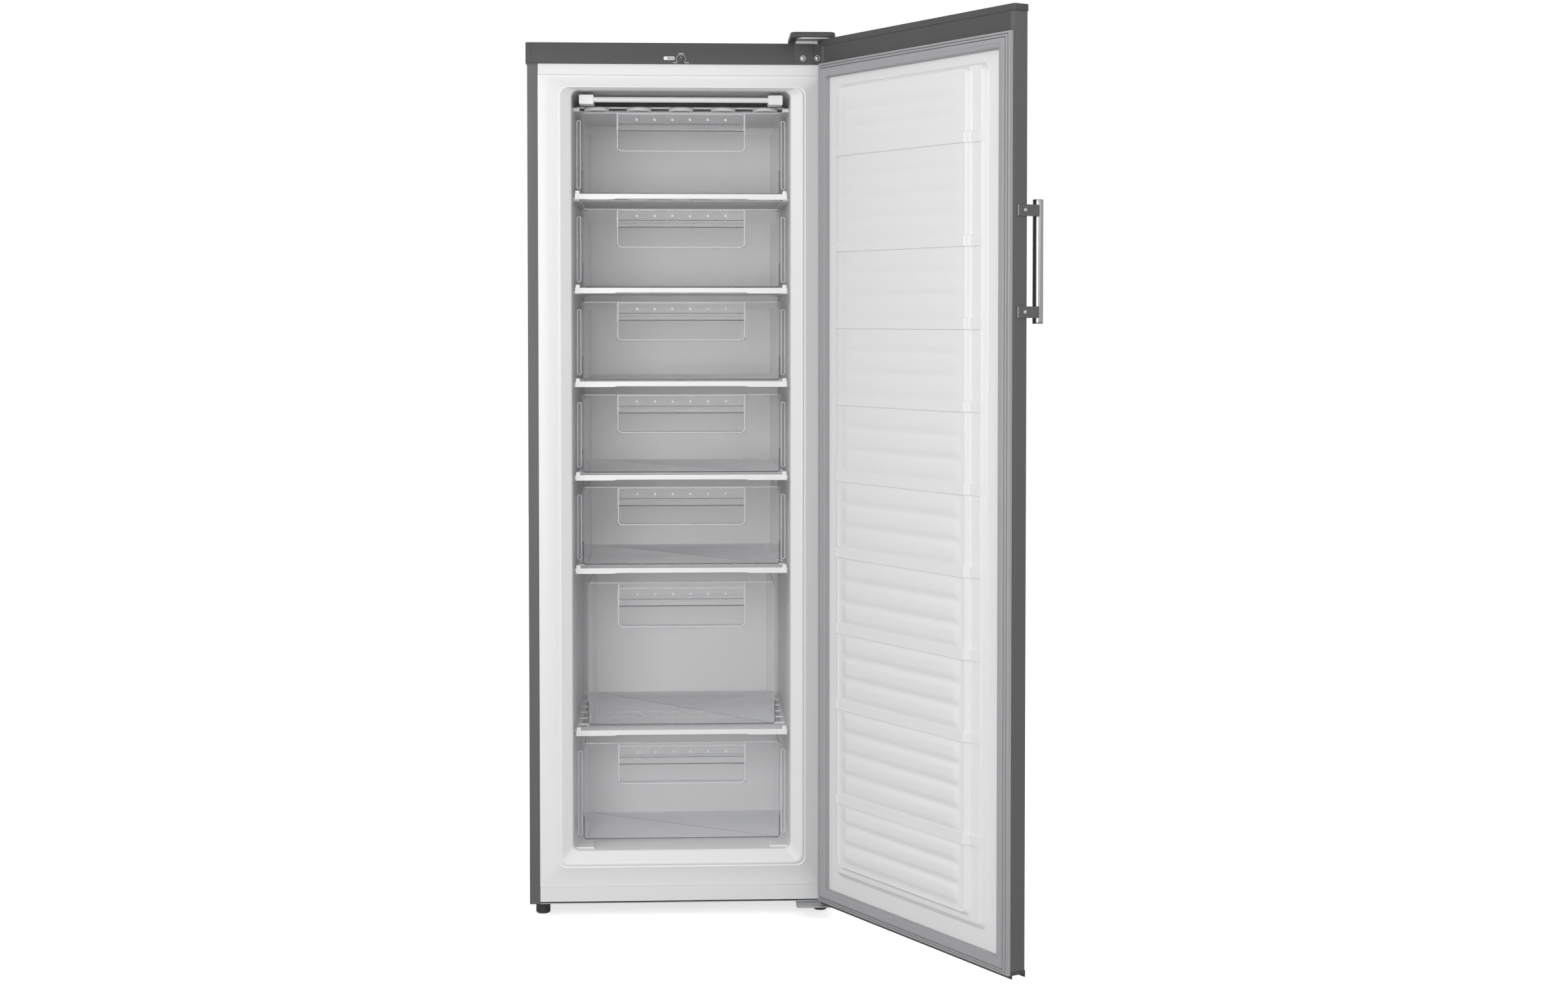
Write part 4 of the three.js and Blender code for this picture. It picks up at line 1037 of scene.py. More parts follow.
class FREEZER_OT_liner(bpy.types.Operator):
    """Build the formed liner with its raised frame, sloping mouth and side ledges"""

    bl_idname = "freezer.liner"
    bl_label = "Cabinet liner"

    def execute(self, context):
        size = sizes(context)
        half, floor, top = size.opening_half, size.opening_floor, size.opening_top
        deep, proud = size.mouth_depth, -size.frame_proud
        wall = size.liner_wall
        box = cad("inner_liner")
        heads = [(-9, -9), (0, 0), (19, 4), (25.5, 5), (31, 9.5)]

        def ring(y, side, low=None, radius=None):
            grow_low = side * 27.5 / 25.5 if low is None else low
            x = half + side
            return [
                (px, y, pz)
                for px, pz in rounded_rectangle(
                    -x, x, floor - grow_low, top + through(heads, side),
                    radius or size.opening_radius + max(side, 0) * 0.1, 8,
                )
            ]

        step = floor - size.step_top
        front, back = size.step_front, size.liner_depth
        inside = [
            ring(back, -5, step - 5), ring(back - 1.5, -1.5, step - 1.5),
            ring(back - 5, 0, step),
            ring(front + 5, 0, step), ring(front + 1.5, 0, step + 1.5),
            ring(front, 0, step + 5), ring(front, 0, -6), ring(front - 1.8, 0, -1.8),
            ring(front - 6, 0),
            ring(deep + 5, 0), ring(deep + 2.2, 0.15), ring(deep, 0.9), ring(deep - 1.6, 3),
            ring(1.0, 17.2), ring(-0.4, 19.2), ring(proud + 0.25, 20.3), ring(proud, 21.8),
            ring(proud, 23.9), ring(proud + 0.3, 25.0), ring(-0.3, 25.7), ring(0, 26.6),
            ring(0, 28.2), ring(-0.5, 28.8), ring(-0.5, 29.6), ring(0, 30.2),
        ]
        edge = [
            [(px, y, pz) for px, pz in rounded_rectangle(box.x0, box.x1, box.z0, box.z1, 0.4, 8)]
            for y in (0, wall)
        ]
        outside = [
            ring(wall, 26), ring(deep, 4), ring(deep + 4, wall),
            ring(front - wall, wall), ring(front - wall, wall, step + wall),
            ring(back + wall, wall, step + wall),
        ]
        shape = Shape().skin(inside + edge + outside)
        build("inner_liner_piece", shape, "cabinet", "white_plastic",
              replaces=("inner_liner",), sharp=50)
        ledges = Shape()
        for number in DRAWERS:
            shelf = cad("cooling_shelf_%d" % number)
            top_z = shelf.z1 - size.wire - 0.3
            for side in (-1, 1):
                near, far = sorted((side * (half - 13), side * (half + 0.5)))
                ledges.block(near, far, 76, back - 20, top_z - 8, top_z)
        seat = cad("drawer_tub_7").z0 - 0.3
        for side in (-1, 1):
            near, far = sorted((side * (half - 41), side * (half + 0.5)))
            ledges.block(near, far, 22, front + 0.5, floor - 0.5, seat)
        build("liner_ledges", ledges, "cabinet", "white_plastic", bevel=2.2)
        return {"FINISHED"}


class FREEZER_OT_shelves(bpy.types.Operator):
    """Build the cooling shelves of bent tube and their front trims"""

    bl_idname = "freezer.shelves"
    bl_label = "Cooling shelves and trims"

    def execute(self, context):
        size = sizes(context)
        for number in DRAWERS:
            self.shelf(size, number)
            if number == 1:
                self.rod("shelf_trim_1")
            else:
                self.trim(size, "shelf_trim_%d" % number)
        return {"FINISHED"}

    def shelf(self, size, number):
        """One tube bent to and fro on a thin sheet, tied on top by cross wires."""
        node = "cooling_shelf_%d" % number
        box = cad(node)
        runs, wires = 10, 6
        outermost = size.opening_half - 25
        pitch = 2 * outermost / (runs - 1)
        z = box.z1 - size.wire / 2 - size.tube / 2
        near, far = box.y0 + size.tube / 2, box.y1 - size.tube / 2
        corners = [(-outermost, far - pitch / 2, z)]
        for run in range(runs):
            x = -outermost + run * pitch
            ends = (far, near) if run % 2 == 0 else (near, far)
            if run > 0:
                corners.append((x, ends[0], z))
            if run < runs - 1:
                corners.append((x, ends[1], z))
        corners.append((outermost, far - pitch / 2, z))
        coated = dressed("white_coated_steel")
        shape = Shape().add_mesh(
            bent_tube(corners, size.tube, pitch / 2 - 0.05, coated, 14)
        )
        reach = box.x1 - 0.5
        first, last = near + pitch / 2 + 4, far - pitch / 2 - 4
        wire = Shape().lathe(
            [(size.wire / 2 - 0.5, -reach), (size.wire / 2, -reach + 0.5),
             (size.wire / 2, reach - 0.5), (size.wire / 2 - 0.5, reach)],
            "x", (0, first, box.z1 - size.wire / 2), 12,
        )
        shape.add_mesh(
            grow(wire.mesh("wire"), "Row", Count=wires,
                 Offset=(0, (last - first) / (wires - 1), 0), Material=coated)
        )
        under = z - size.tube / 2
        shape.block(-reach + 3, reach - 3, first - 2, last + 2, under - size.sheet / 2,
                    under + size.sheet / 2)
        build(node + "_piece", shape, "cabinet", "white_coated_steel", replaces=(node,),
              sharp=40)

    def trim(self, size, node):
        """A folded front bar with a lug near each end, a little thinner over the grip."""
        box = cad(node)
        fold, lug_rise, lug_depth = 2.5, 6, 14
        top = box.z1 - lug_rise
        end = box.x1 - 5
        lug_far, lug_near = end - 1.4, end - 9.3
        notch, notch_start, notch_full = 1.5, 132, 127
        half = [(end, 0, 0), (lug_far, 0, 0), (lug_far, 0, 1), (lug_near, 0, 1),
                (lug_near, 0, 0), (notch_start, 0, 0), (notch_full, notch, 0)]
        stations = [(-x, cut, lug) for x, cut, lug in half] + half[::-1]
        rings = []
        for x, cut, lug in stations:
            low, head = box.z0 + cut, top + lug_rise * lug
            front, back = box.y0, box.y1
            outline = [
                (front, low), (front, head), (front + lug_depth, head),
                (front + lug_depth, top), (back, top), (back, top - 6), (back - fold, top - 6),
                (back - fold, top - fold), (front + fold, top - fold), (front + fold, low),
            ]
            rings.append([(x, y, z) for y, z in outline])
        build(node + "_piece", Shape().skin(rings), "cabinet", "white_plastic",
              replaces=(node,), bevel=size.mould_bevel)

    def rod(self, node):
        """The first trim: a round rod held by a clip at each end."""
        box = cad(node)
        radius, end = 5.35, box.x1 - 13.7
        clip_width, clip_proud = 28.5, 1.2
        shape = Shape().lathe([(radius, -end + 2), (radius, end - 2)], "x",
                              (0, box.y0 + radius + 1, box.z), 32)
        for side in (-1, 1):
            near, far = sorted((side * (end - clip_width), side * end))
            clip = rounded_rectangle(near, far, box.z0 - clip_proud, box.z1 + clip_proud, 2, 6)
            shape.prism(clip, "y", box.y0, box.y1)
        build(node + "_piece", shape, "cabinet", "white_plastic", replaces=(node,), bevel=1.0)


DEEP_DRAWER = 6  # the one without side flanges
GRIP_SINK = {6: 9.4, 7: 4.5}  # millimetres that these drawers' grips sit lower
POCKET_SINK = 1.4  # the pocket's foot sinks by this share of the grip's way


def pocket_drop(size, sink):
    """The rim's height over the foot of the finger pocket, which sinks with the grip."""
    return size.pocket_drop + POCKET_SINK * sink


class FREEZER_OT_drawers(bpy.types.Operator):
    """Build the seven clear drawers with their pockets, grips, rings and beads"""

    bl_idname = "freezer.drawers"
    bl_label = "Drawers"

    def execute(self, context):
        size = sizes(context)
        for number in DRAWERS:
            body, node = "drawer_%d" % number, "drawer_tub_%d" % number
            box = cad(node)
            sink = GRIP_SINK.get(number, 0.0)
            tub = self.tub(size, box, sink)
            if number != DEEP_DRAWER:
                self.flanges(tub, box)
            build(node + "_piece", tub, body, "clear_plastic", replaces=(node,), sharp=38)
            self.grip(size, number, body, box, sink)
            # The bead pieces carry painted highlight and the edge pieces painted shade, both as
            # copies of the clear plastic.
            details = [
                ("rings", self.rings(size, box, sink), "bead"),
                ("bead", self.bead(size, box, sink), "bead"),
                ("edge", self.edges(size, box, sink), "edge"),
            ]
            if number != DEEP_DRAWER:
                details.append(("loops", self.loops(box), "bead"))
            for name, shape, kind in details:
                build("drawer_%s_%d" % (name, number), shape, body, "clear_plastic", kind=kind)
        return {"FINISHED"}

    def tub(self, size, box, sink):
        """A tub on a grid that runs round its walls; the front holds the finger pocket."""
        lip, radius, edge, wall = 1.0, 5.0, 7.0, size.drawer_wall
        half, front, back = box.x1 - lip, box.y0, box.y1 - lip
        rim, bottom = box.z1, box.z0
        grip, ledge = size.grip_half, size.grip_drop
        drop = pocket_drop(size, sink)
        corner = 8.0
        flank = [0, 30, 60, 90, 105, grip - corner, 119.7, 122.3, grip - 1.5, grip, 126.5, 131,
                 140, 155, half - radius - 6, half - radius]
        face = [-x for x in reversed(flank)] + flank[1:]
        columns = [(x, front, 0.0, -1.0) for x in face]

        def arc(cx, cy, start):
            for i in range(1, 6):
                a = math.radians(start + 15 * i)
                columns.append((cx + radius * math.cos(a), cy + radius * math.sin(a),
                                math.cos(a), math.sin(a)))

        arc(half - radius, front + radius, -90)
        run = spread([(front + radius, 1), (front + 26, 3), (back - radius, 60)])
        columns.extend((half, y, 1.0, 0.0) for y in run)
        arc(half - radius, back - radius, 0)
        columns.extend((x, back, 0.0, 1.0) for x in spread([(half - radius, 1),
                                                            (-half + radius, 60)]))
        arc(-half + radius, back - radius, 90)
        columns.extend((-half, y, -1.0, 0.0) for y in reversed(run))
        arc(-half + radius, front + radius, 180)

        fade = [(60, 0), (corner * 12, 0.5), (grip - corner, 1), (grip + 3, 1), (grip + 22, 0)]
        lift = [(-drop - 20, 0), (-drop - 3, -1), (-drop + corner, -1), (-drop + 24, 0),
                (-ledge - 8, 0), (-ledge - 4, 1), (-ledge + 3, 1), (-ledge + 12, 0)]
        high = rim - bottom

        def ring(z, inset, inner=False, rimmed=0.0):
            lean = size.drawer_draft * (rim - z) / high
            points = []
            for x, y, nx, ny in columns:
                pz = z
                low = smooth((y - front - 14) / 8)
                if z > rim - 60:
                    pz -= 12 * low * (z - rim + 60) / 60
                px = x - nx * (inset + lean) + (lip * nx if rimmed else 0)
                py = y - ny * inset + (lip * ny if rimmed and ny > 0 else 0)
                if ny == -1.0:
                    px = x * (half - inset - lean) / half if abs(x) > grip + 5 else x
                    side = min(max((grip - abs(x)) / 1.5, 0), 1)
                    foot = min(max((z - rim + drop) / 1.5, 0), 1)
                    head = min(max((rim - ledge - z) / 1.5, 0), 1)
                    py += size.pocket_depth * min(side, foot, head)
                    dx, dz = abs(x) - (grip - corner), rim - drop + corner - z
                    if dx > 0 and dz > 0:
                        square, round_ = max(dx, dz), math.hypot(dx, dz)
                        pull = square / round_
                        if square > corner:
                            pull += (1 - pull) * min((square - corner) / 12, 1)
                        px += math.copysign(dx * (pull - 1), x)
                        pz -= dz * (pull - 1)
                    if inner:
                        near = through(fade, abs(x))
                        px += math.copysign(wall * near, x) if x else 0
                        if abs(x) < grip + 22:
                            pz += wall * through(lift, z - rim) * min(
                                (grip + 22 - abs(x)) / 17, 1)
                points.append((px, py, pz))
            return points

        rows = spread([(bottom + 16, 1), (rim - drop - 22, 30)])
        rows += [rim - drop + dz for dz in (-10, -4, -1.5, 0, 1.5, 2.7, 5.3, corner, 18)]
        rows += [rim - ledge + dz for dz in (-12, -4, -1.5, 0, 1.5, 6)]
        rows += [rim - 14, rim - 8]
        bends = [math.radians(a) for a in (0, 22.5, 45, 67.5, 90)]
        outer = [ring(bottom + edge * (1 - math.cos(a)), edge * (1 - math.sin(a))) for a in bends]
        outer += [ring(z, 0) for z in rows] + [ring(rim - 5, 0)]
        over = [ring(rim - 5, 0, rimmed=1), ring(rim - 0.8, 0, rimmed=1), ring(rim, 0.8, rimmed=1),
                ring(rim, wall - 0.6), ring(rim - 0.8, wall)]
        round_in = edge - wall
        inner = [ring(z, wall, inner=True) for z in reversed(rows)]
        inner += [
            ring(bottom + wall + round_in * (1 - math.cos(a)),
                 wall + round_in * (1 - math.sin(a)), inner=True)
            for a in reversed(bends)
        ]
        return Shape().skin(outer + over + inner)

    def grip(self, size, number, body, box, sink):
        """The grip in front of the rim, drawn down further on the deeper drawers."""
        grip = soften("drawer_grip_%d" % number, body, "clear_plastic", 0.6)
        top = box.z1 * MM
        for vertex in grip.data.vertices:
            vertex.co.z = top - (top - vertex.co.z) * (1 + sink / size.grip_height)

    def rings(self, size, box, sink):
        """Six small moulded rings in a row on the grip."""
        r = size.pin / 2
        count = 6
        first = -(count - 1) / 2 * size.pin_pitch
        ring = Shape().lathe(
            [(r * 0.45, 0.4), (r, 0.4), (r, -0.5), (r * 0.85, -0.9), (r * 0.6, -0.9),
             (r * 0.45, -0.6), (r * 0.4, 0.2)],
            "y", (first, box.y0 - 3.3, box.z1 - 14 - sink), 20,
        )
        return Shape().add_mesh(
            grow(ring.mesh("ring"), "Row", Count=count, Offset=(size.pin_pitch, 0, 0),
                 Material=dressed("bead"))
        )

    def bead(self, size, box, sink):
        """Beads along the rim, down the grip's ends and round the pocket."""
        shape = Shape()
        x, y = size.grip_half + 0.4, box.y0 - size.bead * 0.2
        low, high = box.z1 - pocket_drop(size, sink) - 0.4, box.z1 - 1
        foot = box.z1 - size.grip_height - sink
        corners = [(-x, y, foot), (-x, y, low), (x, y, low), (x, y, foot)]
        shape.add_mesh(bent_tube(corners, size.bead, 8.4, dressed("bead"), 12))
        for side in (-1, 1):
            ends = [(side * x, y - 1.2, high), (side * x, y - 1.2, foot)]
            shape.add_mesh(bent_tube(ends, 3.8, 1, dressed("bead"), 12))
        reach = box.x1 - 6
        for z, thick, half in ((box.z1 - 0.8, 2.0, reach), (high - 1.5 - sink, 1.8, x)):
            line = [(-half, box.y0 - 0.3, z), (half, box.y0 - 0.3, z)]
            shape.add_mesh(bent_tube(line, thick, 1, dressed("bead"), 10))
        return shape

    def edges(self, size, box, sink):
        """Painted shade: dark tubes for the front's outline and two lines on the grip, where the
        thick clear edges look dark.
        """
        shape = Shape()
        x, y, low = box.x1 - 2.3, box.y0 + 1.9, box.z0 + 2.4
        # These tubes carry painted shade in a dark copy of the clear plastic, not a darker
        # plastic.
        corners = [(-x, y, low + 46), (-x, y, low), (x, y, low), (x, y, low + 46)]
        shape.add_mesh(bent_tube(corners, 1.7, 5, dressed("edge"), 10))
        half = size.grip_half - 1
        y = cad("drawer_grip_1").y0 + 0.2
        for drop, thick in ((size.grip_height - 0.6, 1.9), (size.grip_height * 0.62, 1.1)):
            z = box.z1 - drop - sink
            shape.add_mesh(bent_tube([(-half, y, z), (half, y, z)], thick, 1, dressed("edge"),
                                     10))
        return shape

    def loops(self, box):
        """The beaded outline of the front's rounded side flanges."""
        shape = Shape()
        y = box.y0 + 2
        near, far = box.x1 + 1.4, box.x1 + 8.6
        low, high = box.z0 + 12, box.z1 - 16
        for side in (-1, 1):
            corners = [(side * near, y, high), (side * near, y, low), (side * far, y, low),
                       (side * far, y, high), (side * near, y, high)]
            shape.add_mesh(bent_tube(corners, 1.9, 3.2, dressed("bead"), 10))
        return shape

    def flanges(self, shape, box):
        """The thin webs inside those outlines, part of the tub's moulding."""
        y = box.y0 + 2
        for side in (-1, 1):
            near, far = sorted((side * (box.x1 - 1.2), side * (box.x1 + 8.6)))
            shape.block(near, far, y - 0.5, y + 0.5, box.z0 + 15, box.z1 - 17)


# ---- Door ---------------------------------------------------------------------------


class FREEZER_OT_door_shell(bpy.types.Operator):
    """Build the door's painted panel and its end caps"""

    bl_idname = "freezer.door_shell"
    bl_label = "Door panel and caps"

    def execute(self, context):
        size = sizes(context)
        soften("door_outer_panel", "door", "dark_painted_steel", 0.5)
        soften("door_top_cap", "door", "dark_plastic", size.mould_bevel)
        soften("door_bottom_cap", "door", "dark_plastic", size.mould_bevel)
        return {"FINISHED"}


class FREEZER_OT_door_liner(bpy.types.Operator):
    """Build the door's formed liner: stepped plug, cross ribs and soft waves"""

    bl_idname = "freezer.door_liner"
    bl_label = "Door liner"

    def execute(self, context):
        size = sizes(context)
        box = cad("door_liner", DOOR)
        face = cad("door_gasket", DOOR).y0 - 0.3
        foot, hinge_foot, low, high = 229.5, 236.0, 95.0, 1615.0
        terrace_proud, field_proud = 11, 10
        ribs, rib_drop, rib_pitch, end_pitch = 9, 128, 145.3, 181
        centres = [high - rib_drop]
        for i in range(1, ribs):
            centres.append(centres[-1] - (end_pitch if i in (1, ribs - 1) else rib_pitch))

        def rise(x, z, sides, bottom, top, drafts, radius=16.0):
            """0 outside a rounded outline, 1 past its sloping wall; the hinge is at +x."""
            gaps = ((sides[0] + x) if x < 0 else (sides[1] - x), z - bottom, top - z)
            end = 1 if gaps[1] < gaps[2] else 2
            dx, dz = gaps[0], gaps[end]
            if dx < radius and dz < radius:
                ax, az = radius - dx, radius - dz
                inside = radius - math.hypot(ax, az)
                draft = (drafts[0] * ax + drafts[end] * az) / (ax + az)
            else:
                inside, draft = min((dx, drafts[0]), (dz, drafts[end]))
            return crease(inside / draft)

        def crease(t):
            """From 0 to 1 along a straight slope between two tight bends."""
            t = min(max(t, 0.0), 1.0)
            bend = 0.18
            if t < bend:
                return t * t / (2 * bend * (1 - bend))
            if t > 1 - bend:
                return 1 - (1 - t) ** 2 / (2 * bend * (1 - bend))
            return (t - bend / 2) / (1 - bend)

        def lower_down(z):
            """0 on the upper part of the door, 1 on the lower, smooth between."""
            return smooth((1150 - z) / 700)

        def wave(x, z):
            """Soft waves between the ribs, fainter upwards and fading at both sides."""
            above = [c for c in centres if c > z]
            below = [c for c in centres if c <= z]
            start = below[0] if below else low + 28
            end = above[-1] if above else high - 12
            span = end - start - size.rib_width
            t = z - start - size.rib_width / 2
            if t <= 0 or t >= span:
                return 0.0
            count = max(2, round(span / size.wave_pitch))
            phase = t / span * count
            shape = 0.5 - 0.5 * math.cos(math.tau * (phase + 0.13 * math.sin(math.tau * phase)))
            height = size.wave_height * (0.3 + 0.7 * lower_down(z))
            return height * shape * smooth((188 - abs(x - 8)) / 20)

        def height(x, z):
            terrace = rise(x, z, (foot, hinge_foot), low, high, (9.5, 13, 5))
            field = rise(x, z, (foot - 34.5, hinge_foot - 23), low + 21, high - 6.25,
                         (7.5, 8.5, 3.0), 12)
            total = terrace_proud * terrace + field_proud * field
            if field > 0.98:
                total += wave(x, z) - size.wave_height * 0.4 * lower_down(z)
            nearest = min(abs(z - c) for c in centres)
            rib = crease((size.rib_width / 2 + 0.6 - nearest) / 1.4)
            end = hinge_foot - 8 if x > 0 else foot - 8.5
            return total + size.rib_proud * rib * crease((end - abs(x)) / 1.6)

        near = spread([(box.x1, 1), (hinge_foot + 0.5, 14), (hinge_foot - 11, 1.1),
                       (hinge_foot - 22, 3.4), (hinge_foot - 32, 1.1), (160, 4), (0, 16)])
        far = spread([(0, 1), (-150, 16), (-185, 4), (-196, 1.1), (-foot + 11, 3.4),
                      (-foot - 1, 1.1), (box.x0, 14)])
        xs = near + far[1:]
        stops = [(box.z0, 1), (low - 1, 14), (low + 34, 1.3)]
        for c in reversed(centres):
            under, over = c - size.rib_width / 2, c + size.rib_width / 2
            stops += [(under - 2, 3.6), (under + 2, 0.7), (over - 2, 4), (over + 2, 0.7)]
        stops += [(high - 14, 3.6), (high + 1, 0.9), (box.z1, 12)]
        zs = spread(stops)
        shape = Shape()
        shape.points = [(x, face + height(x, z), z) for z in zs for x in xs]
        wide, tall = len(xs), len(zs)
        for r in range(tall - 1):
            for c in range(wide - 1):
                a = r * wide + c
                shape.faces.append((a, a + 1, a + wide + 1, a + wide))
        rim = (
            list(range(wide))
            + [r * wide + wide - 1 for r in range(1, tall)]
            + [(tall - 1) * wide + c for c in range(wide - 2, -1, -1)]
            + [r * wide for r in range(tall - 2, 0, -1)]
        )
        start = len(shape.points)
        for index in rim:
            x, _, z = shape.points[index]
            shape.points.append((x, box.y0, z))
        count = len(rim)
        for i in range(count):
            j = (i + 1) % count
            shape.faces.append((rim[i], rim[j], start + j, start + i))
        shape.faces.append(tuple(range(start, start + count)))
        build("door_liner_piece", shape, "door", "white_plastic", DOOR,
              replaces=("door_liner",), sharp=60)
        return {"FINISHED"}


class FREEZER_OT_gasket(bpy.types.Operator):
    """Build the door's seal with its lips and grooves, mitred at the corners"""

    bl_idname = "freezer.gasket"
    bl_label = "Door gasket"

    def execute(self, context):
        box = cad("door_gasket", DOOR)
        base = box.y0
        section = [
            (0, 0), (0, 6.0), (0.6, 7.6), (1.8, 8.3), (3.4, 8.3), (4.3, 7.6), (4.6, 4.8),
            (5.5, 4.8), (5.7, 8.8), (6.6, 9.9), (8.4, 10.2), (9.6, 9.6), (9.8, 6.2),
            (10.8, 6.2), (11.0, 10.4), (11.8, 11.8), (13.5, 12.3), (18.5, 12.3),
            (19.6, 11.8), (20.4, 11.3), (21.4, 11.5), (24.5, 11.4), (26.4, 10.6),
            (27.4, 9.0), (27.9, 6.4), (28.2, 3.0), (28.6, 2.6), (28.6, 0),
        ]
        corners = [(-1, -1), (1, -1), (1, 1), (-1, 1)]
        rings = [
            [
                (sx * (box.x1 - u), base + h, (box.z0 + u) if sz < 0 else (box.z1 - u))
                for u, h in section
            ]
            for sx, sz in corners
        ]
        build("door_gasket_piece", Shape().skin(rings, loop=True), "door", "gasket_rubber",
              DOOR, replaces=("door_gasket",), sharp=50)
        return {"FINISHED"}


class FREEZER_OT_handle(bpy.types.Operator):
    """Build the bar handle, its two arms with a painted highlight on their ends, saddles and
    screws
    """

    bl_idname = "freezer.handle"
    bl_label = "Bar handle"

    def execute(self, context):
        size = sizes(context)
        bar = cad("door_handle_bar", DOOR)
        x, y = bar.x, bar.y
        r = (bar.x1 - bar.x0) / 2
        half = (bar.z1 - bar.z0) / 2
        end = [(r - 1.4, half), (r - 0.5, half - 0.3), (r, half - 1.1), (r, half - 3.0),
               (r - 0.3, half - 3.2), (r - 0.3, half - 3.5), (r, half - 3.7)]
        profile = [(a, -b) for a, b in end] + [(a, b) for a, b in reversed(end)]
        build("door_handle_bar_piece", Shape().lathe(profile, "z", (x, y, bar.z), 64), "door",
              "satin_metal", DOOR, replaces=("door_handle_bar",))
        heads, ends, saddles = Shape(), Shape(), Shape()
        arm_gap, lit_end_strip = 6.5, 0.6
        saddle_half, saddle_inner, saddle_outer = 9.2, r + 0.15, r + 1.9
        for node in ("handle_bracket_upper", "handle_bracket_lower"):
            arm = cad(node, DOOR)
            z = arm.z
            outline = rounded_rectangle(y + arm_gap, arm.y1 - lit_end_strip, arm.z0, arm.z1, 1.2, 3)
            build(node + "_piece", Shape().prism(outline, "x", arm.x0, arm.x1), "door",
                  "dark_painted_steel", DOOR, replaces=(node,), bevel=0.4)
            # A pale zinc strip on each arm's end face: painted highlight where light falls on that
            # end.
            ends.block(arm.x0 + 0.2, arm.x1 - 0.2, arm.y1 - 1, arm.y1 + lit_end_strip,
                       arm.z0 + lit_end_strip, arm.z1 - lit_end_strip)
            screw_head(heads, (arm.x0, arm.y1 - 15, z), "x", -1, size.screw * 0.9)
            rings = []
            for i in range(17):
                angle = math.radians(93 + 62 * i / 16)
                c, s = math.cos(angle), math.sin(angle)
                rings.append(
                    [(x + radius * c, y + radius * s, z + dz)
                     for radius, dz in ((saddle_inner, -saddle_half), (saddle_inner, saddle_half),
                                        (saddle_outer, saddle_half), (saddle_outer, -saddle_half))]
                )
            saddles.skin(rings)
        build("handle_arm_end_highlights", ends, "door", "zinc_plated_steel", DOOR)
        build("handle_screws", heads, "door", "zinc_plated_steel", DOOR, kind="screw")
        build("handle_saddles", saddles, "door", "dark_painted_steel", DOOR, bevel=0.4)
        return {"FINISHED"}


class FREEZER_OT_hinges(bpy.types.Operator):
    """Build the hinge brackets and the rounded hinge cover"""

    bl_idname = "freezer.hinges"
    bl_label = "Hinges"

    def execute(self, context):
        for node in ("upper_hinge_bracket", "lower_hinge_bracket"):
            soften(node, "cabinet", "zinc_plated_steel", 0.5)
        box = cad("hinge_cover")
        low, high = box.z0 - 1.2, box.z1 - 2.7
        rings = []
        for z, inset in (
            (low, 1.2), (low + 0.8, 0.3), (low + 2.0, 0), (low + 5.6, 0),
            (low + 6.0, 0.45), (low + 6.4, 0.45), (low + 6.8, 0.1),
            (high - 1.6, 0.5), (high - 0.6, 1.4), (high, 3.4),
        ):
            outline = rounded_rectangle(box.x0 + 2 + inset, box.x1 - inset, box.y0 + inset,
                                        box.y1 - inset, 12 - inset, 8)
            rings.append([(px, py, z) for px, py in outline])
        build("hinge_cover_piece", Shape().skin(rings), "cabinet", "dark_plastic",
              replaces=("hinge_cover",), sharp=50)
        return {"FINISHED"}


# ---- Underneath and behind ------------------------------------------------------------


class FREEZER_OT_feet(bpy.types.Operator):
    """Build the ribbed levelling feet and the rear rollers"""

    bl_idname = "freezer.feet"
    bl_label = "Feet and rollers"

    def execute(self, context):
        size = sizes(context)
        for side in ("left", "right"):
            self.foot(size, "front_%s_foot" % side)
            self.roller("rear_%s_roller" % side)
        return {"FINISHED"}

    def foot(self, size, node):
        """A foot turned by hand, ribbed round its rim, under its threaded stem."""
        box = cad(node)
        profile = [
            (9.5, 0), (12.2, 0.6), (12.9, 2.2), (12.9, 19.0), (11.8, 20.0), (5.2, 20.0),
            (4.6, 21.0), (4.6, box.z1 - 0.8), (3.8, box.z1),
        ]
        shape = Shape().lathe(profile, "z", (0, 0, 0), 48)
        half = size.foot_rib / 2
        rib = Shape().prism(rounded_rectangle(12.2, 14.0, -half, half, 0.7, 3), "z", 2.6, 18.4)
        shape.add_mesh(
            grow(rib.mesh("rib"), "Ring", Count=22, Material=dressed("dark_rubber"))
        )
        x, y = box.x, box.y
        shape.points = [(px + x, py + y, pz) for px, py, pz in shape.points]
        build(node + "_piece", shape, node + "_body", "dark_rubber", replaces=(node,), bevel=0.3)

    def roller(self, node):
        """A wheel with a hub on each face and a hole for its axle."""
        box = cad(node)
        r, w = (box.z1 - box.z0) / 2, (box.x1 - box.x0) / 2
        bore = 3.3
        half = [(bore, w), (bore + 2.5, w), (bore + 3.2, w - 1.2), (r - 4, w - 1.2),
                (r - 3.2, w), (r - 1.2, w), (r, w - 1.4)]
        profile = [(radius, -along) for radius, along in half] + half[::-1]
        at = (box.x, box.y, box.z)
        build(node + "_piece", Shape().lathe(profile, "x", at, 48, loop=True), node + "_body",
              "black_plastic", replaces=(node,))


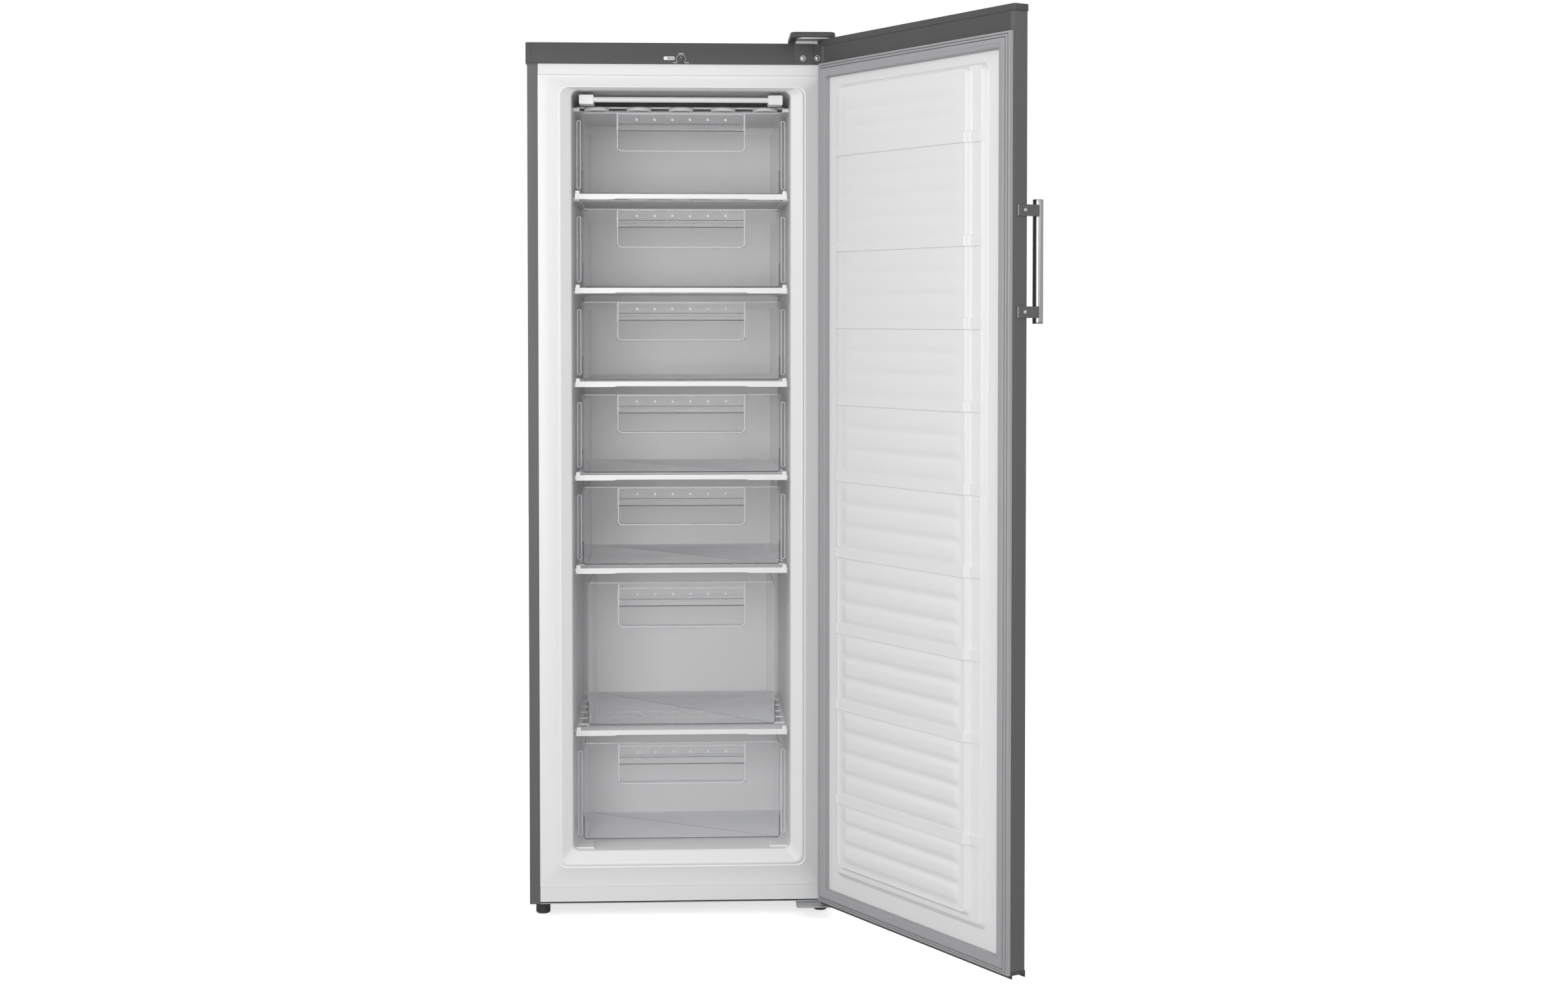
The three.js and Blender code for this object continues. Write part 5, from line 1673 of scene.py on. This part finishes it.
class FREEZER_OT_cooling(bpy.types.Operator):
    """Build the compressor, its starter box, dryer and tubes, and the condenser"""

    bl_idname = "freezer.cooling"
    bl_label = "Compressor and condenser"

    def execute(self, context):
        self.compressor()
        soften("starter_box", "cabinet", "black_plastic", 1.2)
        self.dryer()
        self.suction()
        self.condenser()
        return {"FINISHED"}

    def compressor(self):
        """A welded steel pot on a foot plate, held by four bolts."""
        box = cad("compressor")
        x, y = box.x, box.y
        z, r, h = box.z0, 74.0, box.z1 - box.z0 - 1
        shoulder = 94.5
        profile = [(r * 0.8, 1), (r * 0.93, 5), (r * 0.97, 12), (r, 28), (r, 79.5), (r + 4, 82.4),
                   (r + 4.4, 84), (r + 4.4, 90), (r + 4, 91.6), (r, shoulder)]
        for i in range(1, 13):
            angle = math.pi / 2 * i / 13
            along = shoulder + (h - shoulder) * math.sin(angle)
            profile.append((r * math.cos(angle) ** 0.62, along))
        profile += [(r * 0.3, h + 0.4), (r * 0.08, h + 1)]
        shape = Shape().lathe(profile, "z", (x, y, z), 72)
        shape.prism(rounded_rectangle(x - 85, x + 85, y - 60, y + 60, 14, 8), "z", z, z + 3)
        for dx in (-71, 71):
            for dy in (-46, 46):
                at = (x + dx, y + dy, z + 3)
                shape.lathe([(11, -0.5), (11, 1.2), (10.4, 1.6), (4, 1.6)], "z", at, 32)
                shape.lathe([(6, 1), (6, 5.4), (5.4, 6)], "z", at, 6)
        build("compressor_piece", shape, "cabinet", "black_enamel", replaces=("compressor",),
              sharp=40)

    def dryer(self):
        """A copper cartridge, necked down to a tube at both ends."""
        box = cad("filter_dryer")
        r = (box.x1 - box.x0) / 2
        h = box.z1 - box.z0
        profile = [(r * 0.35, 0), (r * 0.4, 3), (r * 0.8, 7.5), (r, 12), (r, h / 2 - 2),
                   (r + 0.4, h / 2), (r, h / 2 + 2), (r, h - 12), (r * 0.8, h - 7.5),
                   (r * 0.4, h - 3), (r * 0.35, h)]
        at = (box.x, box.y, box.z0)
        build("filter_dryer_piece", Shape().lathe(profile, "z", at, 40), "cabinet", "copper",
              replaces=("filter_dryer",))

    def suction(self):
        """The copper tube that leads from the liner's foot to the compressor."""
        box = cad("suction_tube")
        tube, bend = 8, 16
        y = box.y
        x, z = box.x0 + tube / 2, box.z0 + tube / 2
        corners = [(box.x1, y, z), (x, y, z), (x, y, box.z1)]
        shape = Shape().add_mesh(bent_tube(corners, tube, bend, dressed("copper"), 20))
        build("suction_tube_piece", shape, "cabinet", "copper", replaces=("suction_tube",))

    def condenser(self):
        """The black tube behind: up one side, through its runs, and down to the dryer."""
        pot, dryer = cad("compressor"), cad("filter_dryer")
        box = cad("condenser")
        y, runs, tube = box.y1 - 3, 14, 6
        riser, riser_gap, leg_gap = 267.5, 16, 24
        top, bottom = box.z1 - tube, 451.0
        bay_top, back_panel = 301, 555.3
        wires, wire_pitch, wire_start = 33, 14, -224
        bar_x, bar_half = 160, 3
        pitch = (top - bottom) / (runs - 1)
        far = riser - riser_gap
        outlet = pot.z0 + 100
        x0, y0 = pot.x, pot.y1 - 4
        feed = [(x0, y0, outlet), (x0, y, outlet), (riser, y, outlet), (riser, y, top)]
        coil = []
        for run in range(runs):
            z = top - run * pitch
            ends = (far, -far) if run % 2 == 0 else (-far, far)
            if run > 0:
                coil.append((ends[0], y, z))
            if run < runs - 1:
                coil.append((ends[1], y, z))
        dx, dy = dryer.x, dryer.y
        turn_back = bay_top - 28
        leg = riser - leg_gap
        tail = [(leg, y, bottom), (leg, y, turn_back), (dx, y, turn_back), (dx, dy, turn_back),
                (dx, dy, dryer.z1)]
        shape = Shape().add_mesh(
            bent_tube(feed + coil + tail, tube, 14, dressed("black_enamel"), 12)
        )
        wire = Shape().lathe(
            [(0.6, bottom - 6), (0.8, bottom - 5.6), (0.8, top + 5.6), (0.6, top + 6)], "z",
            (wire_start, y - 3.4, 0), 8,
        )
        shape.add_mesh(
            grow(wire.mesh("wire"), "Row", Count=wires, Offset=(wire_pitch, 0, 0),
                 Material=dressed("black_enamel"))
        )
        for x in (-bar_x, bar_x):
            x0, x1 = x - bar_half, x + bar_half
            shape.block(x0, x1, y - 4.5, y - 2, bottom - 6, top + 6)
            for z in (bottom + pitch / 2, top - pitch / 2):
                shape.block(x0, x1, back_panel, y - 2, z - 7, z + 7)
        build("condenser_piece", shape, "cabinet", "black_enamel", replaces=("condenser",),
              sharp=40)


# ---- Stage --------------------------------------------------------------------------


# Name, place and aim in millimetres, side in metres, watts.
LAMPS = (
    ("front", (-800, -4700, 1500), (0, 0, 850), 2.2, 66),
    ("left", (-3300, -2300, 2700), (200, -100, 900), 2.4, 34),
    ("right", (2600, -3800, 2200), (300, -200, 900), 2.0, 16),
    ("rear", (600, 3200, 2600), (0, 500, 900), 3.0, 36),
)


class FREEZER_OT_stage(bpy.types.Operator):
    """Set the floor, the white surroundings, the lamps and the camera"""

    bl_idname = "freezer.stage"
    bl_label = "Stage"

    def execute(self, context):
        scene = context.scene
        scene.view_settings.view_transform = "Standard"
        scene.cycles.transparent_max_bounces = 32
        self.floor(scene)
        self.surroundings(scene)
        for lamp in LAMPS:
            self.lamp(*lamp)
        self.camera(scene)
        return {"FINISHED"}

    def floor(self, scene):
        """A pale sheet that the camera sees as white, with the object's shadow on it."""
        mesh = bpy.data.meshes.new("floor")
        reach = 9  # metres
        mesh.from_pydata(
            [(-reach, -reach, 0), (reach, -reach, 0), (reach, reach, 0), (-reach, reach, 0)],
            [], [(0, 1, 2, 3)],
        )
        floor = put_in_scene("floor", mesh)
        material, tree = new_material("matt_floor_sheet")
        ray = add_node(tree, "ShaderNodeLightPath")
        pale = add_node(
            tree, "ShaderNodeBsdfDiffuse",
            {"Color": tuple(scene.freezer_colours.floor), "Roughness": 0.0},
        )
        glow = add_node(tree, "ShaderNodeEmission", {"Color": (1, 1, 1, 1), "Strength": 0.7})
        dark = add_node(tree, "ShaderNodeEmission", {"Color": (0, 0, 0, 1), "Strength": 0.0})
        seen = add_node(
            tree, "ShaderNodeMixShader",
            {0: ray.outputs["Is Camera Ray"], 1: dark.outputs[0], 2: glow.outputs[0]},
        )
        both = add_node(tree, "ShaderNodeAddShader", {0: pale.outputs[0], 1: seen.outputs[0]})
        add_node(tree, "ShaderNodeOutputMaterial", {"Surface": both.outputs[0]})
        mesh.materials.append(material)

    def surroundings(self, scene):
        """White to the eye and in reflections, a softer level where it lights the object."""
        world = bpy.data.worlds.new("studio")
        world.use_nodes = True
        tree = world.node_tree
        tree.nodes.clear()
        ray = add_node(tree, "ShaderNodeLightPath")
        direct = add_node(
            tree, "ShaderNodeMath",
            {0: ray.outputs["Is Camera Ray"], 1: ray.outputs["Is Transmission Ray"]},
            operation="MAXIMUM",
        )
        shown = add_node(
            tree, "ShaderNodeMath",
            {0: direct.outputs[0], 1: ray.outputs["Is Glossy Ray"]}, operation="MAXIMUM",
        )
        place = add_node(tree, "ShaderNodeTexCoord")
        axes = add_node(tree, "ShaderNodeSeparateXYZ", {0: place.outputs["Generated"]})
        sky = add_node(
            tree, "ShaderNodeMapRange",
            {"Value": axes.outputs["Z"], "From Min": -0.6, "From Max": 0.9,
             "To Min": 0.36, "To Max": 0.72},
        )
        level = add_node(
            tree, "ShaderNodeMapRange",
            {"Value": shown.outputs[0], "To Min": sky.outputs[0], "To Max": 1.0},
        )
        white = add_node(
            tree, "ShaderNodeBackground",
            {"Color": (1, 1, 1, 1), "Strength": level.outputs[0]},
        )
        add_node(tree, "ShaderNodeOutputWorld", {"Surface": white.outputs[0]})
        scene.world = world

    def lamp(self, name, at, towards, size, power):
        data = bpy.data.lights.new(name, "AREA")
        data.size = size
        data.energy = power
        lamp = put_in_scene(name, data)
        place, aim = CABINET @ Vector(at), CABINET @ Vector(towards)
        lamp.location = place
        lamp.rotation_euler = (aim - place).to_track_quat("-Z", "Y").to_euler()

    def camera(self, scene):
        """The camera that the photograph's straight lines give, for a 2408 by 1515 picture."""
        width, focal, principal, middle = 2408, 3395.7, 594.2, 757.5
        place, heading, tilt = (-5.5, -4311.3, 1168.8), -2.73, -1.76
        data = bpy.data.cameras.new("camera")
        data.sensor_fit = "HORIZONTAL"
        data.sensor_width = 36
        data.lens = data.sensor_width * focal / width
        data.shift_y = (principal - middle) / width
        data.clip_end = 60
        camera = put_in_scene("camera", data)
        camera.location = CABINET @ Vector(place)
        camera.rotation_euler = (math.radians(90 + tilt), 0, math.radians(heading))
        scene.camera = camera


# ---- Panel and registration -----------------------------------------------------------

OPERATORS = (
    FREEZER_OT_shell,
    FREEZER_OT_cover,
    FREEZER_OT_liner,
    FREEZER_OT_shelves,
    FREEZER_OT_drawers,
    FREEZER_OT_door_shell,
    FREEZER_OT_door_liner,
    FREEZER_OT_gasket,
    FREEZER_OT_handle,
    FREEZER_OT_hinges,
    FREEZER_OT_feet,
    FREEZER_OT_cooling,
    FREEZER_OT_stage,
)


class FREEZER_PT_panel(bpy.types.Panel):
    """Lists the freezer's sizes, colours and pieces"""

    bl_idname = "FREEZER_PT_panel"
    bl_label = "Upright Freezer"
    bl_space_type = "VIEW_3D"
    bl_region_type = "UI"
    bl_category = "Freezer"

    def draw(self, context):
        layout = self.layout
        for operator in OPERATORS:
            layout.operator(operator.bl_idname)
        for group, kind in (
            (context.scene.freezer_sizes, FreezerSizes),
            (context.scene.freezer_colours, FreezerColours),
        ):
            box = layout.box()
            for name in kind.__annotations__:
                box.prop(group, name)


CLASSES = (FreezerSizes, FreezerColours, *OPERATORS, FREEZER_PT_panel)


def register():
    for cls in CLASSES:
        bpy.utils.register_class(cls)
    bpy.types.Scene.freezer_sizes = bpy.props.PointerProperty(type=FreezerSizes)
    bpy.types.Scene.freezer_colours = bpy.props.PointerProperty(type=FreezerColours)


def unregister():
    del bpy.types.Scene.freezer_colours
    del bpy.types.Scene.freezer_sizes
    for cls in reversed(CLASSES):
        bpy.utils.unregister_class(cls)


def main():
    register()
    for operator in OPERATORS:
        space, name = operator.bl_idname.split(".")
        getattr(getattr(bpy.ops, space), name)()


if __name__ == "__main__":
    main()
